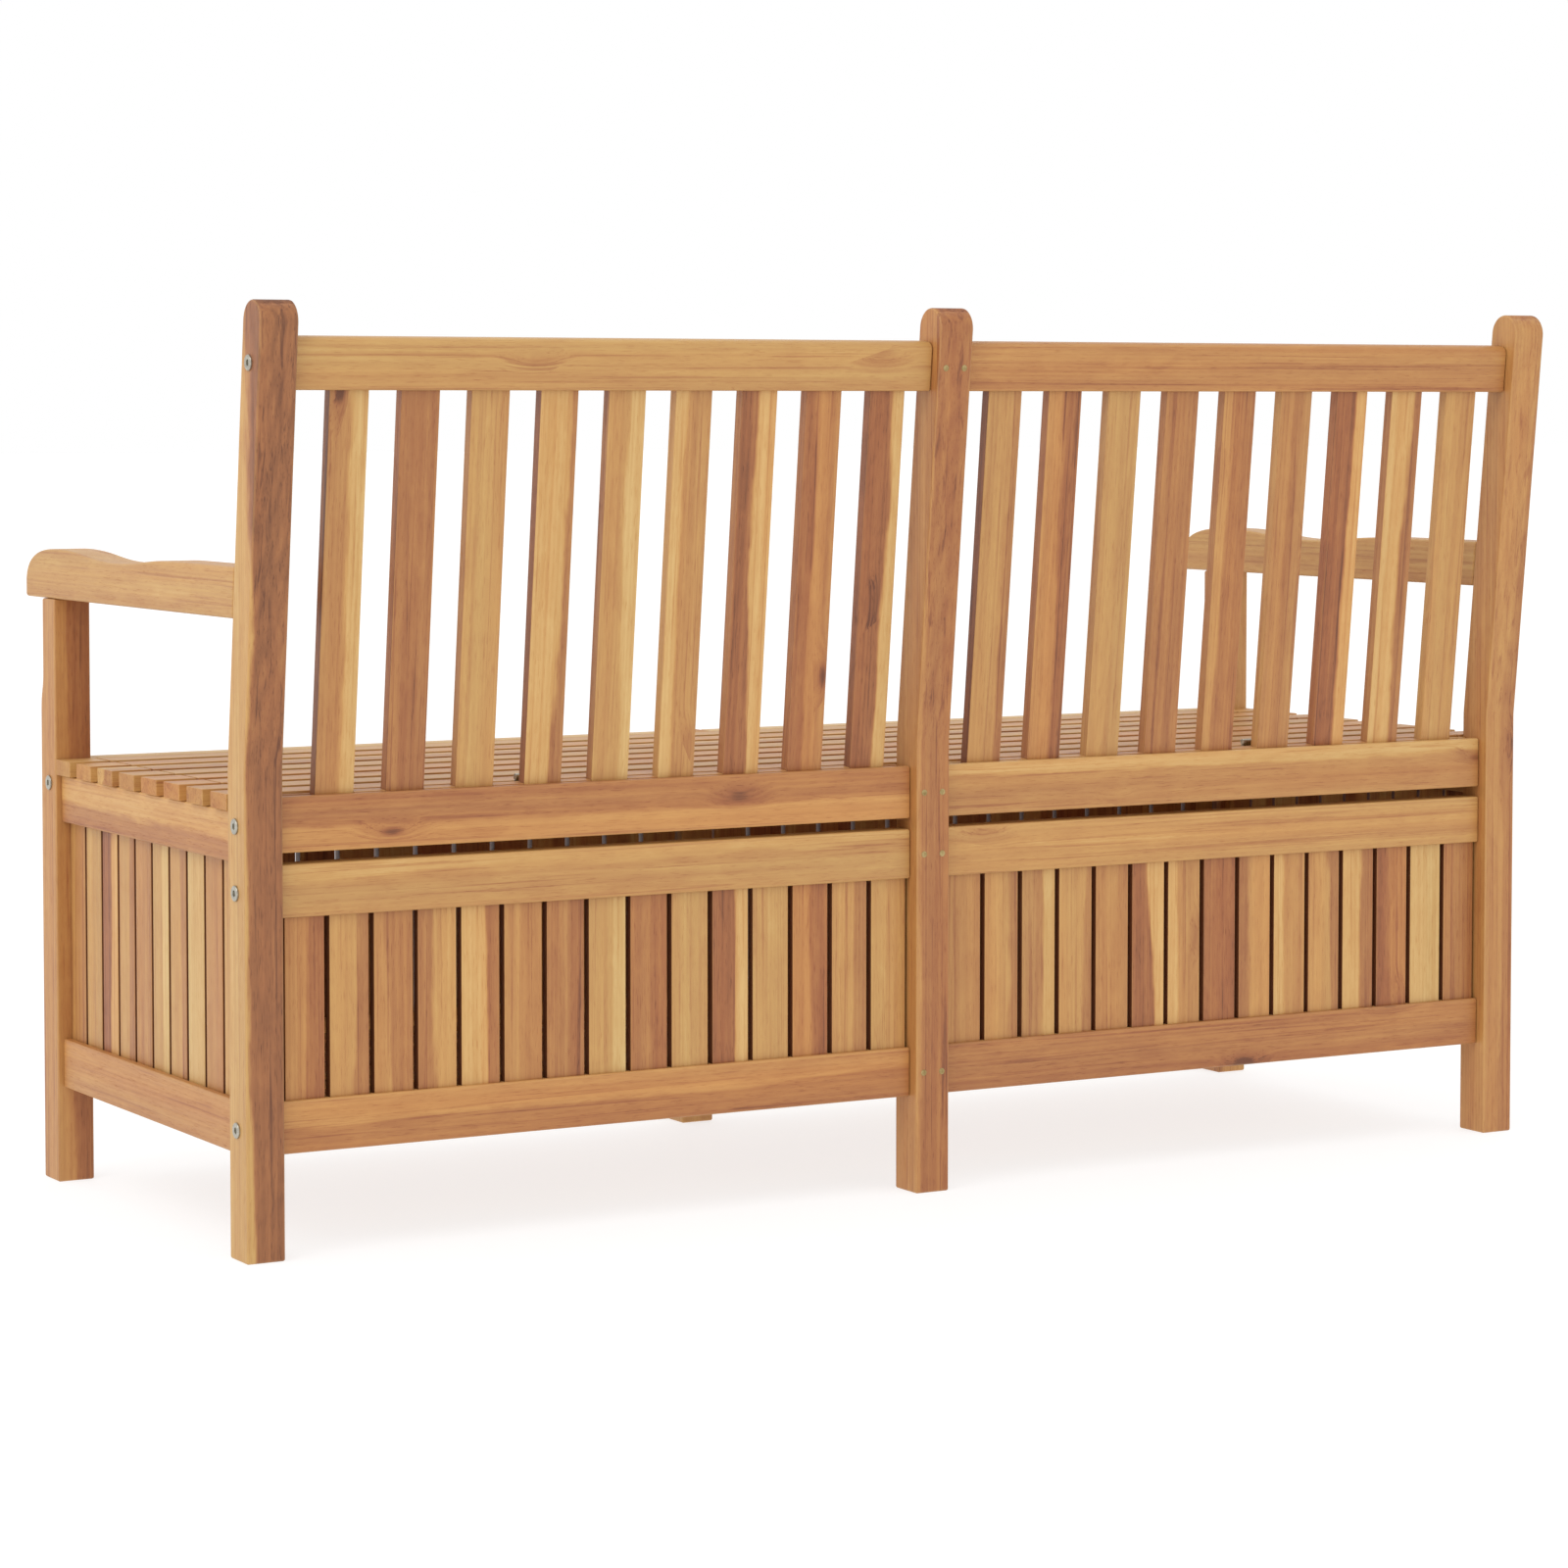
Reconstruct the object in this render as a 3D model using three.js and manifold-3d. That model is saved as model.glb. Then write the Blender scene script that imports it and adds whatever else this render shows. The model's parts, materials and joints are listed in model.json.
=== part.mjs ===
// Slatted acacia storage bench: two rows of posts carry a slatted box, a raked backrest and two armrests.
// The seat between the armrests is a lid, hinged along its rear edge on the lower back rails.
// Frame: millimetres, +Z up, X along the bench, the sitter faces -Y, origin on the ground under the centre
// of the overall box. "Left" is the sitter's left, +X.
import * as THREE from "three";
import { mergeVertices } from "three/addons/utils/BufferGeometryUtils.js";
import Module from "manifold-3d";

const wasm = await Module();
wasm.setup();
const { Manifold, Mesh: SolidMesh } = wasm;

// ---- driving dimensions -------------------------------------------------------------------------
const benchLength = 1500; // over the posts' outer faces
const benchDepth = 620; // armrest tip to the back of the post tops
const benchHeight = 895;
const seatHeight = 436;
const gap = 0.3; // air between neighbouring pieces
const past = 1; // how far a cutter runs past what it cuts

const postWidth = 38.75;
const postDepth = 41;
const kinkHeight = 460; // above this the back posts lean
const rake = Math.atan(0.105);

const railHeight = 50;
const railThick = 27;
const railInset = 12; // back rails lie this far in from the posts' back faces
const bottomRailZ = 98; // underside of the lowest rails
const upperBoxRailZ = 320;
const lowerBackRailZ = 381;
const lowerBackRailHeight = 53;
const crestRailHeight = 49;
const crestRailUp = 352.5; // from the kink, measured up the rake
const crestEdgeRadius = 8;

const legSpan = 494; // posts' back face to the front legs' back face
const legDepth = 41;
const legUpperDepth = 35;
const legShoulder = [485, 525]; // the front face steps back between these heights
const frontRailInset = 10;
const endRailInset = 6;
const endTopRailZ = 371.5;
const endTopRailHeight = 48;

// The armrest's top is given by rises over its underside, at distances back from its tip.
const arm = { underside: 600.4, noseRise: 19, noseReach: 45, crest: 51, crestAt: 90, dip: 42, dipAt: 248,
  rear: 48.5, rearAt: 400 };

const slatGrooveDepth = 10;
const boxSlat = { width: 40.3, thick: 10, pitch: 45.75, count: 15, setBack: 18, drift: { left: -2.9, right: -2.9 } };
const frontBoxSlat = { ...boxSlat, thick: 13 };
const backSlat = { width: 39.7, thick: 12.5, pitch: 73, count: 9, setBack: 18, footPlay: 1,
  drift: { left: -7.2, right: 0.1 } };
const endSlat = { width: 40, thick: 10, pitch: 45.1, count: 10, setBack: 15.5 };

const seatSlat = { width: 39.5, thick: 15.7, pitch: 58.6, count: 8, rearSetBack: 43.1 };
const seatBlockLength = 42; // fixed slat ends under each armrest
const lidEndGap = 2.5;
const ledger = { width: 20, height: 25 };
const centreSupportHeight = 40;
const lidBatten = { width: 45, thick: 19.7, x: 420, frontClear: 8, rearClear: 17 };

const floorBoard = { width: 48, thick: 12, pitch: 57.5, count: 7, top: 135, rearSetBack: 88 };
const floorBearer = { width: 30, thick: 20, x: [-670, -240, 240, 670] };

const bolt = { headRadius: 7.5, headThick: 2, chamfer: 0.6, hexRadius: 2.9, hexDepth: 1.4, shankRadius: 3,
  into: 35, inset: 22, holeSpare: 2, seatAir: 0.01 };
const hinge = { length: 38, x: 432, leafThick: 1.5, knuckleRadius: 3.2, pinRadius: 1.5, pinClearance: 0.08,
  axisSetBack: 41.1, axisAboveSeat: 3.5, frameLeafDrop: 27, lidLeafDrop: 15,
  knuckleEnds: [0, 0.31, 0.69, 1] };

const curveSegments = 10;
const roundSides = { hole: 12, rod: 20, head: 24, hexagon: 6 };

// ---- places worked out from them ----------------------------------------------------------------
const outerX = benchLength / 2;
const innerX = outerX - postWidth;
const bayStart = postWidth / 2;
const bayLength = innerX - bayStart;
const postRound = (postDepth / 2) * Math.cos(rake);
const postRoundZ = benchHeight - postRound;
const backY = benchDepth / 2 - postRound + postDepth / 2 - (postRoundZ - kinkHeight) * Math.tan(rake);
const postFrontY = backY - postDepth;
const railBackY = backY - railInset;
const railFrontY = railBackY - railThick;
const legBackY = backY - legSpan;
const legFrontY = legBackY - legDepth;
const frontRailFrontY = legFrontY + frontRailInset;
const frontRailBackY = frontRailFrontY + railThick;
const frontRailZ = seatHeight - railHeight;
const endRailOuterX = outerX - endRailInset;
const endRailInnerX = endRailOuterX - railThick;
const seatUnderside = seatHeight - seatSlat.thick;
const lidEndX = outerX - seatBlockLength - lidEndGap;
const hingeY = backY - hinge.axisSetBack;
const hingeZ = seatHeight + hinge.axisAboveSeat;
const armTipY = -benchDepth / 2;

// ---- materials ----------------------------------------------------------------------------------
const wood = (color) => () => new THREE.MeshStandardMaterial({ color, roughness: 0.5, metalness: 0 });
const straw = wood("#d9b47c");
const golden = wood("#c8955f");
const reddish = wood("#b0714b");
const zinc = () => new THREE.MeshStandardMaterial({ color: "#c3c0b8", roughness: 0.35, metalness: 1 });

// ---- shapes -------------------------------------------------------------------------------------
function solidOf(geometry) {
  const bare = geometry.clone();
  bare.deleteAttribute("normal");
  bare.deleteAttribute("uv");
  const merged = mergeVertices(bare, 1e-4);
  const mesh = new SolidMesh({
    numProp: 3,
    vertProperties: new Float32Array(merged.attributes.position.array),
    triVerts: new Uint32Array(merged.index.array),
  });
  return new Manifold(mesh);
}

function geometryOf(solid) {
  const mesh = solid.getMesh();
  const geometry = new THREE.BufferGeometry();
  geometry.setAttribute("position", new THREE.BufferAttribute(mesh.vertProperties, 3));
  geometry.setIndex(new THREE.BufferAttribute(mesh.triVerts, 1));
  geometry.computeVertexNormals();
  return geometry;
}

function block(low, high) {
  const size = high.map((value, i) => value - low[i]);
  const geometry = new THREE.BoxGeometry(...size);
  geometry.translate(...low.map((value, i) => value + size[i] / 2));
  return solidOf(geometry);
}

// A side profile drawn in (y, z), carried along X.
const alongX = new THREE.Matrix4().makeBasis(
  new THREE.Vector3(0, 1, 0),
  new THREE.Vector3(0, 0, 1),
  new THREE.Vector3(1, 0, 0),
);

function extrudeX(shape, x0, x1) {
  const geometry = new THREE.ExtrudeGeometry(shape, { depth: x1 - x0, bevelEnabled: false, curveSegments });
  geometry.applyMatrix4(alongX);
  geometry.translate(x0, 0, 0);
  return solidOf(geometry);
}

function rodX(radius, x0, x1, y, z, sides = roundSides.rod) {
  const geometry = new THREE.CylinderGeometry(radius, radius, Math.abs(x1 - x0), sides);
  geometry.rotateZ(Math.PI / 2);
  geometry.translate((x0 + x1) / 2, y, z);
  return solidOf(geometry);
}

// ---- scene graph --------------------------------------------------------------------------------
const bench = new THREE.Group();
const backrest = new THREE.Group(); // leaning frame: local z runs up the rake, local -y faces forward
backrest.position.set(0, backY, kinkHeight);
backrest.rotation.x = -rake;
bench.add(backrest);

function add(name, solid, material, parent = bench, x = 0) {
  const mesh = new THREE.Mesh(geometryOf(solid), material());
  mesh.name = name;
  mesh.position.x = x;
  parent.add(mesh);
}

const sides = [
  { name: "left", sign: 1 },
  { name: "right", sign: -1 },
];
const span = (sign, near, far) => (sign > 0 ? [near, far] : [-far, -near]); // x range on one side

// ---- posts and legs -----------------------------------------------------------------------------
function backPost() {
  const roundY = backY + (postRoundZ - kinkHeight) * Math.tan(rake) - postDepth / 2;
  const profile = new THREE.Shape();
  profile.moveTo(postFrontY, 0);
  profile.lineTo(backY, 0);
  profile.lineTo(backY, kinkHeight);
  profile.absarc(roundY, postRoundZ, postRound, -rake, Math.PI - rake, false);
  profile.lineTo(postFrontY, kinkHeight);
  profile.closePath();
  return extrudeX(profile, -postWidth / 2, postWidth / 2);
}

function cornerLeg() {
  const [low, high] = legShoulder;
  const middle = (low + high) / 2;
  const upperFrontY = legBackY - legUpperDepth;
  const profile = new THREE.Shape();
  profile.moveTo(legFrontY, 0);
  profile.lineTo(legBackY, 0);
  profile.lineTo(legBackY, arm.underside - gap);
  profile.lineTo(upperFrontY, arm.underside - gap);
  profile.lineTo(upperFrontY, high);
  profile.bezierCurveTo(upperFrontY, middle, legFrontY, middle, legFrontY, low);
  profile.closePath();
  return extrudeX(profile, -postWidth / 2, postWidth / 2);
}

// Bolt axes on the side of a bench end: height and depth of each joint that a bolt closes.
const crestUp = crestRailUp + crestRailHeight / 2;
const boltPlaces = [
  { name: "crest", y: backY + crestUp * Math.sin(rake) - bolt.inset * Math.cos(rake),
    z: kinkHeight + crestUp * Math.cos(rake) + bolt.inset * Math.sin(rake) },
  { name: "lower_back", y: backY - bolt.inset, z: lowerBackRailZ + lowerBackRailHeight / 2 },
  { name: "upper_box", y: backY - bolt.inset, z: upperBoxRailZ + railHeight / 2 },
  { name: "bottom", y: backY - bolt.inset, z: bottomRailZ + railHeight / 2 },
  { name: "front", y: (frontRailFrontY + frontRailBackY) / 2, z: frontRailZ + railHeight / 2 },
];
const placeOf = (name) => boltPlaces.find((place) => place.name === name);

function drill(solid, place, sign) {
  const [x0, x1] = span(sign, innerX - bolt.into - bolt.holeSpare, outerX + past);
  return solid.subtract(rodX(bolt.shankRadius + gap, x0, x1, place.y, place.z, roundSides.hole));
}

add("back_post_middle", backPost(), reddish);
for (const { name, sign } of sides) {
  const shift = sign * (outerX - postWidth / 2);
  let post = backPost().translate(shift, 0, 0);
  for (const place of boltPlaces.slice(0, 4)) post = drill(post, place, sign);
  add(`back_post_${name}`, post.translate(-shift, 0, 0), sign > 0 ? straw : reddish, bench, shift);
  const leg = drill(cornerLeg().translate(shift, 0, 0), placeOf("front"), sign);
  add(`front_leg_${name}`, leg.translate(-shift, 0, 0), golden, bench, shift);
}
add("front_leg_middle", block([-postWidth / 2, legFrontY, 0], [postWidth / 2, legBackY, seatHeight]), golden);

// ---- rails --------------------------------------------------------------------------------------
// A rail between two posts, with a groove for slats in its top (up) or its underside (down).
function bayRail(sign, { y, z, height, groove, drilled }) {
  const [x0, x1] = span(sign, bayStart + gap, innerX - gap);
  let rail = block([x0, y[0], z], [x1, y[1], z + height]);
  if (groove) {
    const floor = groove.up ? z + height - slatGrooveDepth : z - past;
    const roof = groove.up ? z + height + past : z + slatGrooveDepth;
    rail = rail.subtract(block([x0 - past, groove.y[0] - gap, floor], [x1 + past, groove.y[1] + gap, roof]));
  }
  return drilled ? drill(rail, drilled, sign) : rail;
}

function crestRail(sign) {
  const [x0, x1] = span(sign, bayStart + gap, innerX - gap);
  const [front, back] = [-railInset - railThick, -railInset];
  const top = crestRailUp + crestRailHeight;
  const radius = crestEdgeRadius;
  const profile = new THREE.Shape();
  profile.moveTo(front, crestRailUp);
  profile.lineTo(back, crestRailUp);
  profile.absarc(back - radius, top - radius, radius, 0, Math.PI / 2, false);
  profile.absarc(front + radius, top - radius, radius, Math.PI / 2, Math.PI, false);
  profile.closePath();
  const slotY = [-backSlat.setBack - backSlat.thick - gap, -backSlat.setBack + gap];
  const slotTop = crestRailUp + slatGrooveDepth;
  const slot = block([x0 - past, slotY[0], crestRailUp - past], [x1 + past, slotY[1], slotTop]);
  const [b0, b1] = span(sign, innerX - bolt.into - bolt.holeSpare, outerX + past);
  const hole = rodX(bolt.shankRadius + gap, b0, b1, -bolt.inset, crestUp, roundSides.hole);
  return extrudeX(profile, x0, x1).subtract(slot).subtract(hole);
}

const backRailY = [railFrontY, railBackY];
const frontRailY = [frontRailFrontY, frontRailBackY];
const backBoxSlatY = [backY - boxSlat.setBack - boxSlat.thick, backY - boxSlat.setBack];
const frontSlatFrontY = frontRailFrontY + (railThick - frontBoxSlat.thick) / 2;
const frontBoxSlatY = [frontSlatFrontY, frontSlatFrontY + frontBoxSlat.thick];
// The backrest slats' groove in the lower back rails follows the rake, so it is a little wider.
const slatFootY = backY - (kinkHeight - lowerBackRailZ - lowerBackRailHeight) * Math.tan(rake);
const backSlatFootY = [
  slatFootY - backSlat.setBack - backSlat.thick - 2 * backSlat.footPlay,
  slatFootY - backSlat.setBack + backSlat.footPlay,
];

for (const { name, sign } of sides) {
  add(`crest_rail_${name}`, crestRail(sign), sign > 0 ? reddish : golden, backrest);
  add(`lower_back_rail_${name}`, bayRail(sign, { y: backRailY, z: lowerBackRailZ, height: lowerBackRailHeight,
    groove: { up: true, y: backSlatFootY }, drilled: placeOf("lower_back") }), sign > 0 ? reddish : golden);
  add(`back_upper_box_rail_${name}`, bayRail(sign, { y: backRailY, z: upperBoxRailZ, height: railHeight,
    groove: { up: false, y: backBoxSlatY }, drilled: placeOf("upper_box") }), golden);
  add(`back_bottom_rail_${name}`, bayRail(sign, { y: backRailY, z: bottomRailZ, height: railHeight,
    groove: { up: true, y: backBoxSlatY }, drilled: placeOf("bottom") }), golden);
  add(`front_top_rail_${name}`, bayRail(sign, { y: frontRailY, z: frontRailZ, height: railHeight,
    groove: { up: false, y: frontBoxSlatY }, drilled: placeOf("front") }), straw);
  add(`front_bottom_rail_${name}`, bayRail(sign, { y: frontRailY, z: bottomRailZ, height: railHeight,
    groove: { up: true, y: frontBoxSlatY } }), golden);
}

// End rails run front to back between a front leg and a back post.
const endRailY = [legBackY + gap, postFrontY - gap];
function endRail(sign, z, height, grooveUp) {
  const [x0, x1] = span(sign, endRailInnerX, endRailOuterX);
  const [s0, s1] = span(sign, outerX - endSlat.setBack - endSlat.thick - gap, outerX - endSlat.setBack + gap);
  const floor = grooveUp ? z + height - slatGrooveDepth : z - past;
  const roof = grooveUp ? z + height + past : z + slatGrooveDepth;
  const groove = block([s0, endRailY[0] - past, floor], [s1, endRailY[1] + past, roof]);
  return block([x0, endRailY[0], z], [x1, endRailY[1], z + height]).subtract(groove);
}
for (const { name, sign } of sides) {
  add(`end_top_rail_${name}`, endRail(sign, endTopRailZ, endTopRailHeight, false), golden);
  add(`end_bottom_rail_${name}`, endRail(sign, bottomRailZ, railHeight, true), reddish);
}

// ---- slat panels --------------------------------------------------------------------------------
// The slats of a panel are housed in the rails' grooves, with filler strips between their ends. A panel is
// the slats and both filler strips, glued up as one piece.
function bayPanel(sign, slat, y, z) {
  const spread = (slat.count - 1) * slat.pitch + slat.width;
  const middle = sign * (bayStart + bayLength / 2) + (sign > 0 ? slat.drift.left : slat.drift.right);
  const reach = slatGrooveDepth - gap;
  const [x0, x1] = span(sign, bayStart + 2 * gap, innerX - 2 * gap);
  const pieces = [
    block([x0, y[0], z[0] - reach], [x1, y[1], z[0] - gap]),
    block([x0, y[0], z[1] + gap], [x1, y[1], z[1] + reach]),
  ];
  for (let i = 0; i < slat.count; i++) {
    const left = middle - spread / 2 + i * slat.pitch;
    pieces.push(block([left, y[0], z[0] - reach], [left + slat.width, y[1], z[1] + reach]));
  }
  return Manifold.union(pieces);
}

function endPanel(sign) {
  const [x0, x1] = span(sign, outerX - endSlat.setBack - endSlat.thick, outerX - endSlat.setBack);
  const reach = slatGrooveDepth - gap;
  const z = [bottomRailZ + railHeight, endTopRailZ];
  const pieces = [
    block([x0, endRailY[0] + gap, z[0] - reach], [x1, endRailY[1] - gap, z[0] - gap]),
    block([x0, endRailY[0] + gap, z[1] + gap], [x1, endRailY[1] - gap, z[1] + reach]),
  ];
  for (let i = 0; i < endSlat.count; i++) {
    const front = endRailY[0] + gap + i * endSlat.pitch;
    pieces.push(block([x0, front, z[0] - reach], [x1, front + endSlat.width, z[1] + reach]));
  }
  return Manifold.union(pieces);
}

const slatFoot = (lowerBackRailZ + lowerBackRailHeight - kinkHeight) / Math.cos(rake);
const offSquare = backSlat.setBack * Math.tan(rake); // the rail's level top meets leaning slats off square
const backSlatY = [-backSlat.setBack - backSlat.thick, -backSlat.setBack];
const backSlatZ = [slatFoot - offSquare + backSlat.footPlay, crestRailUp];
const backBoxZ = [bottomRailZ + railHeight, upperBoxRailZ];
const frontBoxZ = [bottomRailZ + railHeight, frontRailZ];
for (const { name, sign } of sides) {
  add(`backrest_slats_${name}`, bayPanel(sign, backSlat, backSlatY, backSlatZ), straw, backrest);
  add(`back_panel_slats_${name}`, bayPanel(sign, boxSlat, backBoxSlatY, backBoxZ), golden);
  add(`front_panel_slats_${name}`, bayPanel(sign, frontBoxSlat, frontBoxSlatY, frontBoxZ), straw);
  add(`end_panel_slats_${name}`, endPanel(sign), straw);
}

// ---- armrests -----------------------------------------------------------------------------------
// Sawn from a board as thick as the legs are wide: a rounded nose, then a shallow wave back to the post.
function armrest() {
  const rearAt = (z) => postFrontY + (z - kinkHeight) * Math.tan(rake) - gap;
  const [crest, dip, rear] = [arm.crest, arm.dip, arm.rear].map((rise) => arm.underside + rise);
  const [noseLean, noseDrop] = [5, 4]; // the nose curve's lower handle, behind the tip and under the crest
  const profile = new THREE.Shape();
  profile.moveTo(rearAt(arm.underside), arm.underside);
  profile.lineTo(rearAt(rear), rear);
  profile.splineThru([
    new THREE.Vector2(armTipY + arm.rearAt, rear),
    new THREE.Vector2(armTipY + arm.dipAt, dip),
    new THREE.Vector2(armTipY + arm.crestAt, crest),
  ]);
  const noseZ = arm.underside + arm.noseRise;
  profile.bezierCurveTo(armTipY + arm.noseReach, crest, armTipY + noseLean, crest - noseDrop, armTipY, noseZ);
  profile.lineTo(armTipY, arm.underside);
  profile.closePath();
  return extrudeX(profile, -postWidth / 2, postWidth / 2);
}
for (const { name, sign } of sides) {
  add(`armrest_${name}`, armrest(), sign > 0 ? straw : golden, bench, sign * (outerX - postWidth / 2));
}

// ---- seat ---------------------------------------------------------------------------------------
const slatRear = (i) => backY - seatSlat.rearSetBack - i * seatSlat.pitch; // 0 is the rearmost slat

// Fixed slat ends on top of the end rail, glued to the ledger that carries the lid's ends.
function seatEnd(sign) {
  const [l0, l1] = span(sign, endRailInnerX - ledger.width, endRailInnerX - gap);
  const [b0, b1] = span(sign, outerX - seatBlockLength, outerX);
  const ledgerTop = seatUnderside - gap;
  const pieces = [block([l0, endRailY[0], ledgerTop - ledger.height], [l1, endRailY[1], ledgerTop])];
  for (let i = 0; i < seatSlat.count; i++) {
    const front = Math.max(slatRear(i) - seatSlat.width, endRailY[0]);
    pieces.push(block([b0, front, seatUnderside - 2 * gap], [b1, slatRear(i), seatHeight]));
  }
  return Manifold.union(pieces);
}
for (const { name, sign } of sides) add(`seat_end_blocks_${name}`, seatEnd(sign), straw);

add("seat_centre_support", block(
  [-postWidth / 2, legBackY + gap, seatUnderside - gap - centreSupportHeight],
  [postWidth / 2, postFrontY - gap, seatUnderside - gap],
), golden);

for (let i = 0; i < seatSlat.count; i++) {
  const front = slatRear(i) - seatSlat.width;
  const slat = block([-lidEndX, front, seatUnderside], [lidEndX, slatRear(i), seatHeight]);
  add(`lid_slat_${i + 1}`, slat, i % 3 === 1 ? golden : straw);
}
const lidFrontY = slatRear(seatSlat.count - 1) - seatSlat.width;
for (const { name, sign } of sides) {
  const middle = sign * lidBatten.x;
  const top = seatUnderside - gap;
  add(`lid_batten_${name}`, block(
    [middle - lidBatten.width / 2, lidFrontY + lidBatten.frontClear, top - lidBatten.thick],
    [middle + lidBatten.width / 2, slatRear(0) - lidBatten.rearClear, top],
  ), golden);
}

// ---- floor of the box ---------------------------------------------------------------------------
function floorBoards() {
  const pieces = [];
  const boardEnd = endRailInnerX - 2 * gap;
  const underside = floorBoard.top - floorBoard.thick;
  for (let i = 0; i < floorBoard.count; i++) {
    const rear = backY - floorBoard.rearSetBack - i * floorBoard.pitch;
    pieces.push(block([-boardEnd, rear - floorBoard.width, underside], [boardEnd, rear, floorBoard.top]));
  }
  for (const x of floorBearer.x) {
    pieces.push(block(
      [x - floorBearer.width / 2, frontRailBackY + gap, underside - floorBearer.thick],
      [x + floorBearer.width / 2, railFrontY - gap, underside + gap],
    ));
  }
  return Manifold.union(pieces);
}
add("floor_boards", floorBoards(), golden);

// ---- bolts --------------------------------------------------------------------------------------
// Flat-headed connector bolt along X, head towards +X at the origin of its mesh, with a hexagon socket.
function connectorBolt() {
  const outline = [
    [0, -postWidth - bolt.into],
    [bolt.shankRadius, -postWidth - bolt.into],
    [bolt.shankRadius, 0],
    [bolt.headRadius, 0],
    [bolt.headRadius, bolt.headThick - bolt.chamfer],
    [bolt.headRadius - bolt.chamfer, bolt.headThick],
    [0, bolt.headThick],
  ].map(([radius, height]) => new THREE.Vector2(radius, height));
  const geometry = new THREE.LatheGeometry(outline, roundSides.head);
  geometry.rotateZ(-Math.PI / 2);
  const floor = bolt.headThick - bolt.hexDepth;
  const socket = rodX(bolt.hexRadius, floor, bolt.headThick + past, 0, 0, roundSides.hexagon);
  return solidOf(geometry).subtract(socket);
}
for (const { name, sign } of sides) {
  for (const place of boltPlaces) {
    const mesh = new THREE.Mesh(geometryOf(connectorBolt()), zinc());
    mesh.name = `bolt_${name}_${place.name}`;
    mesh.position.set(sign * (outerX + bolt.seatAir), place.y, place.z);
    mesh.rotation.z = sign > 0 ? 0 : Math.PI;
    bench.add(mesh);
  }
}

// ---- hinges -------------------------------------------------------------------------------------
// Butt hinge: the frame leaf is screwed to the lower back rail's front face and keeps the pin, the lid leaf
// is screwed to the rear edge of the rearmost lid slat.
const knuckleCut = hinge.knuckleRadius + gap;
const knuckles = hinge.knuckleEnds.map((share) => (share - 0.5) * hinge.length);

function frameLeaf() {
  const front = hinge.axisSetBack - railInset - railThick - gap - hinge.leafThick;
  const back = front + hinge.leafThick;
  const pieces = [
    block([knuckles[0], front, -hinge.frameLeafDrop], [knuckles[3], back, -knuckleCut]),
    rodX(hinge.pinRadius, knuckles[0], knuckles[3], 0, 0),
  ];
  for (const [x0, x1] of [[knuckles[0], knuckles[1] - gap], [knuckles[2] + gap, knuckles[3]]]) {
    pieces.push(rodX(hinge.knuckleRadius, x0, x1, 0, 0));
    pieces.push(block([x0, front, -knuckleCut - past], [x1, back, 0]));
  }
  return Manifold.union(pieces);
}

function lidLeaf() {
  const back = hinge.axisSetBack - seatSlat.rearSetBack + gap + hinge.leafThick;
  const front = back - hinge.leafThick;
  const [x0, x1] = [knuckles[1], knuckles[2]];
  const solid = Manifold.union([
    block([knuckles[0], front, -hinge.lidLeafDrop - hinge.axisAboveSeat], [knuckles[3], back, -knuckleCut]),
    block([x0, front, -knuckleCut - past], [x1, back, 0]),
    rodX(hinge.knuckleRadius, x0, x1, 0, 0),
  ]);
  return solid.subtract(rodX(hinge.pinRadius + hinge.pinClearance, x0 - past, x1 + past, 0, 0));
}

for (const { name, sign } of sides) {
  for (const [part, leaf] of [["frame_leaf", frameLeaf()], ["lid_leaf", lidLeaf()]]) {
    const mesh = new THREE.Mesh(geometryOf(leaf), zinc());
    mesh.name = `hinge_${name}_${part}`;
    mesh.position.set(sign * hinge.x, hingeY, hingeZ);
    bench.add(mesh);
  }
}

export default bench;
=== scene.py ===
import json
import math
import random

import bmesh
import bpy
from bpy.props import FloatProperty, FloatVectorProperty, IntProperty, PointerProperty
from mathutils import Matrix, Vector


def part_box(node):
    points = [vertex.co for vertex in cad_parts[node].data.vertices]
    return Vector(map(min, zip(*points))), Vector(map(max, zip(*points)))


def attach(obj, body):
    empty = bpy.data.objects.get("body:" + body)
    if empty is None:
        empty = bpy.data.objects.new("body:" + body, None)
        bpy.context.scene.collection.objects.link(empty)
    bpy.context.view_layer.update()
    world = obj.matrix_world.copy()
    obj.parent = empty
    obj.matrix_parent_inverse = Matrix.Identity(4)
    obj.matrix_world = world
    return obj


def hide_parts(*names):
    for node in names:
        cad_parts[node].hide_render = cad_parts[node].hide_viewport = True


bl_info = {
    "name": "Slatted Storage Bench",
    "version": (1, 0, 0),
    "blender": (4, 5, 0),
    "location": "View3D > Sidebar > Bench",
    "description": "Builds an oiled acacia storage bench around its packed frame",
    "category": "Object",
}

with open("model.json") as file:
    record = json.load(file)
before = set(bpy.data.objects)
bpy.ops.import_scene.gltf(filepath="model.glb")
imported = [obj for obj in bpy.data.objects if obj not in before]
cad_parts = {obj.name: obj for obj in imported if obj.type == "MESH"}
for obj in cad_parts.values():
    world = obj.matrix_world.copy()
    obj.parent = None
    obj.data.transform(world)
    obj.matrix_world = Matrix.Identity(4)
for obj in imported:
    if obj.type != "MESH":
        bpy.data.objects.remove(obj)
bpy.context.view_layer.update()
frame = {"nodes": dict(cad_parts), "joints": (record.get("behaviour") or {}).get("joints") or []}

# ---- sizes, in metres --------------------------------------------------------------------------
MM = 0.001
GAP = 0.3 * MM  # air between neighbouring pieces
KINK_HEIGHT = 460 * MM  # above this the back posts lean
RAKE = math.atan(0.105)
KINK_EASING = 60 * MM  # radius that eases the bend of a back post
LEG_UPPER_DEPTH = 35 * MM
LEG_SHOULDER = (485 * MM, 525 * MM)
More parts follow.
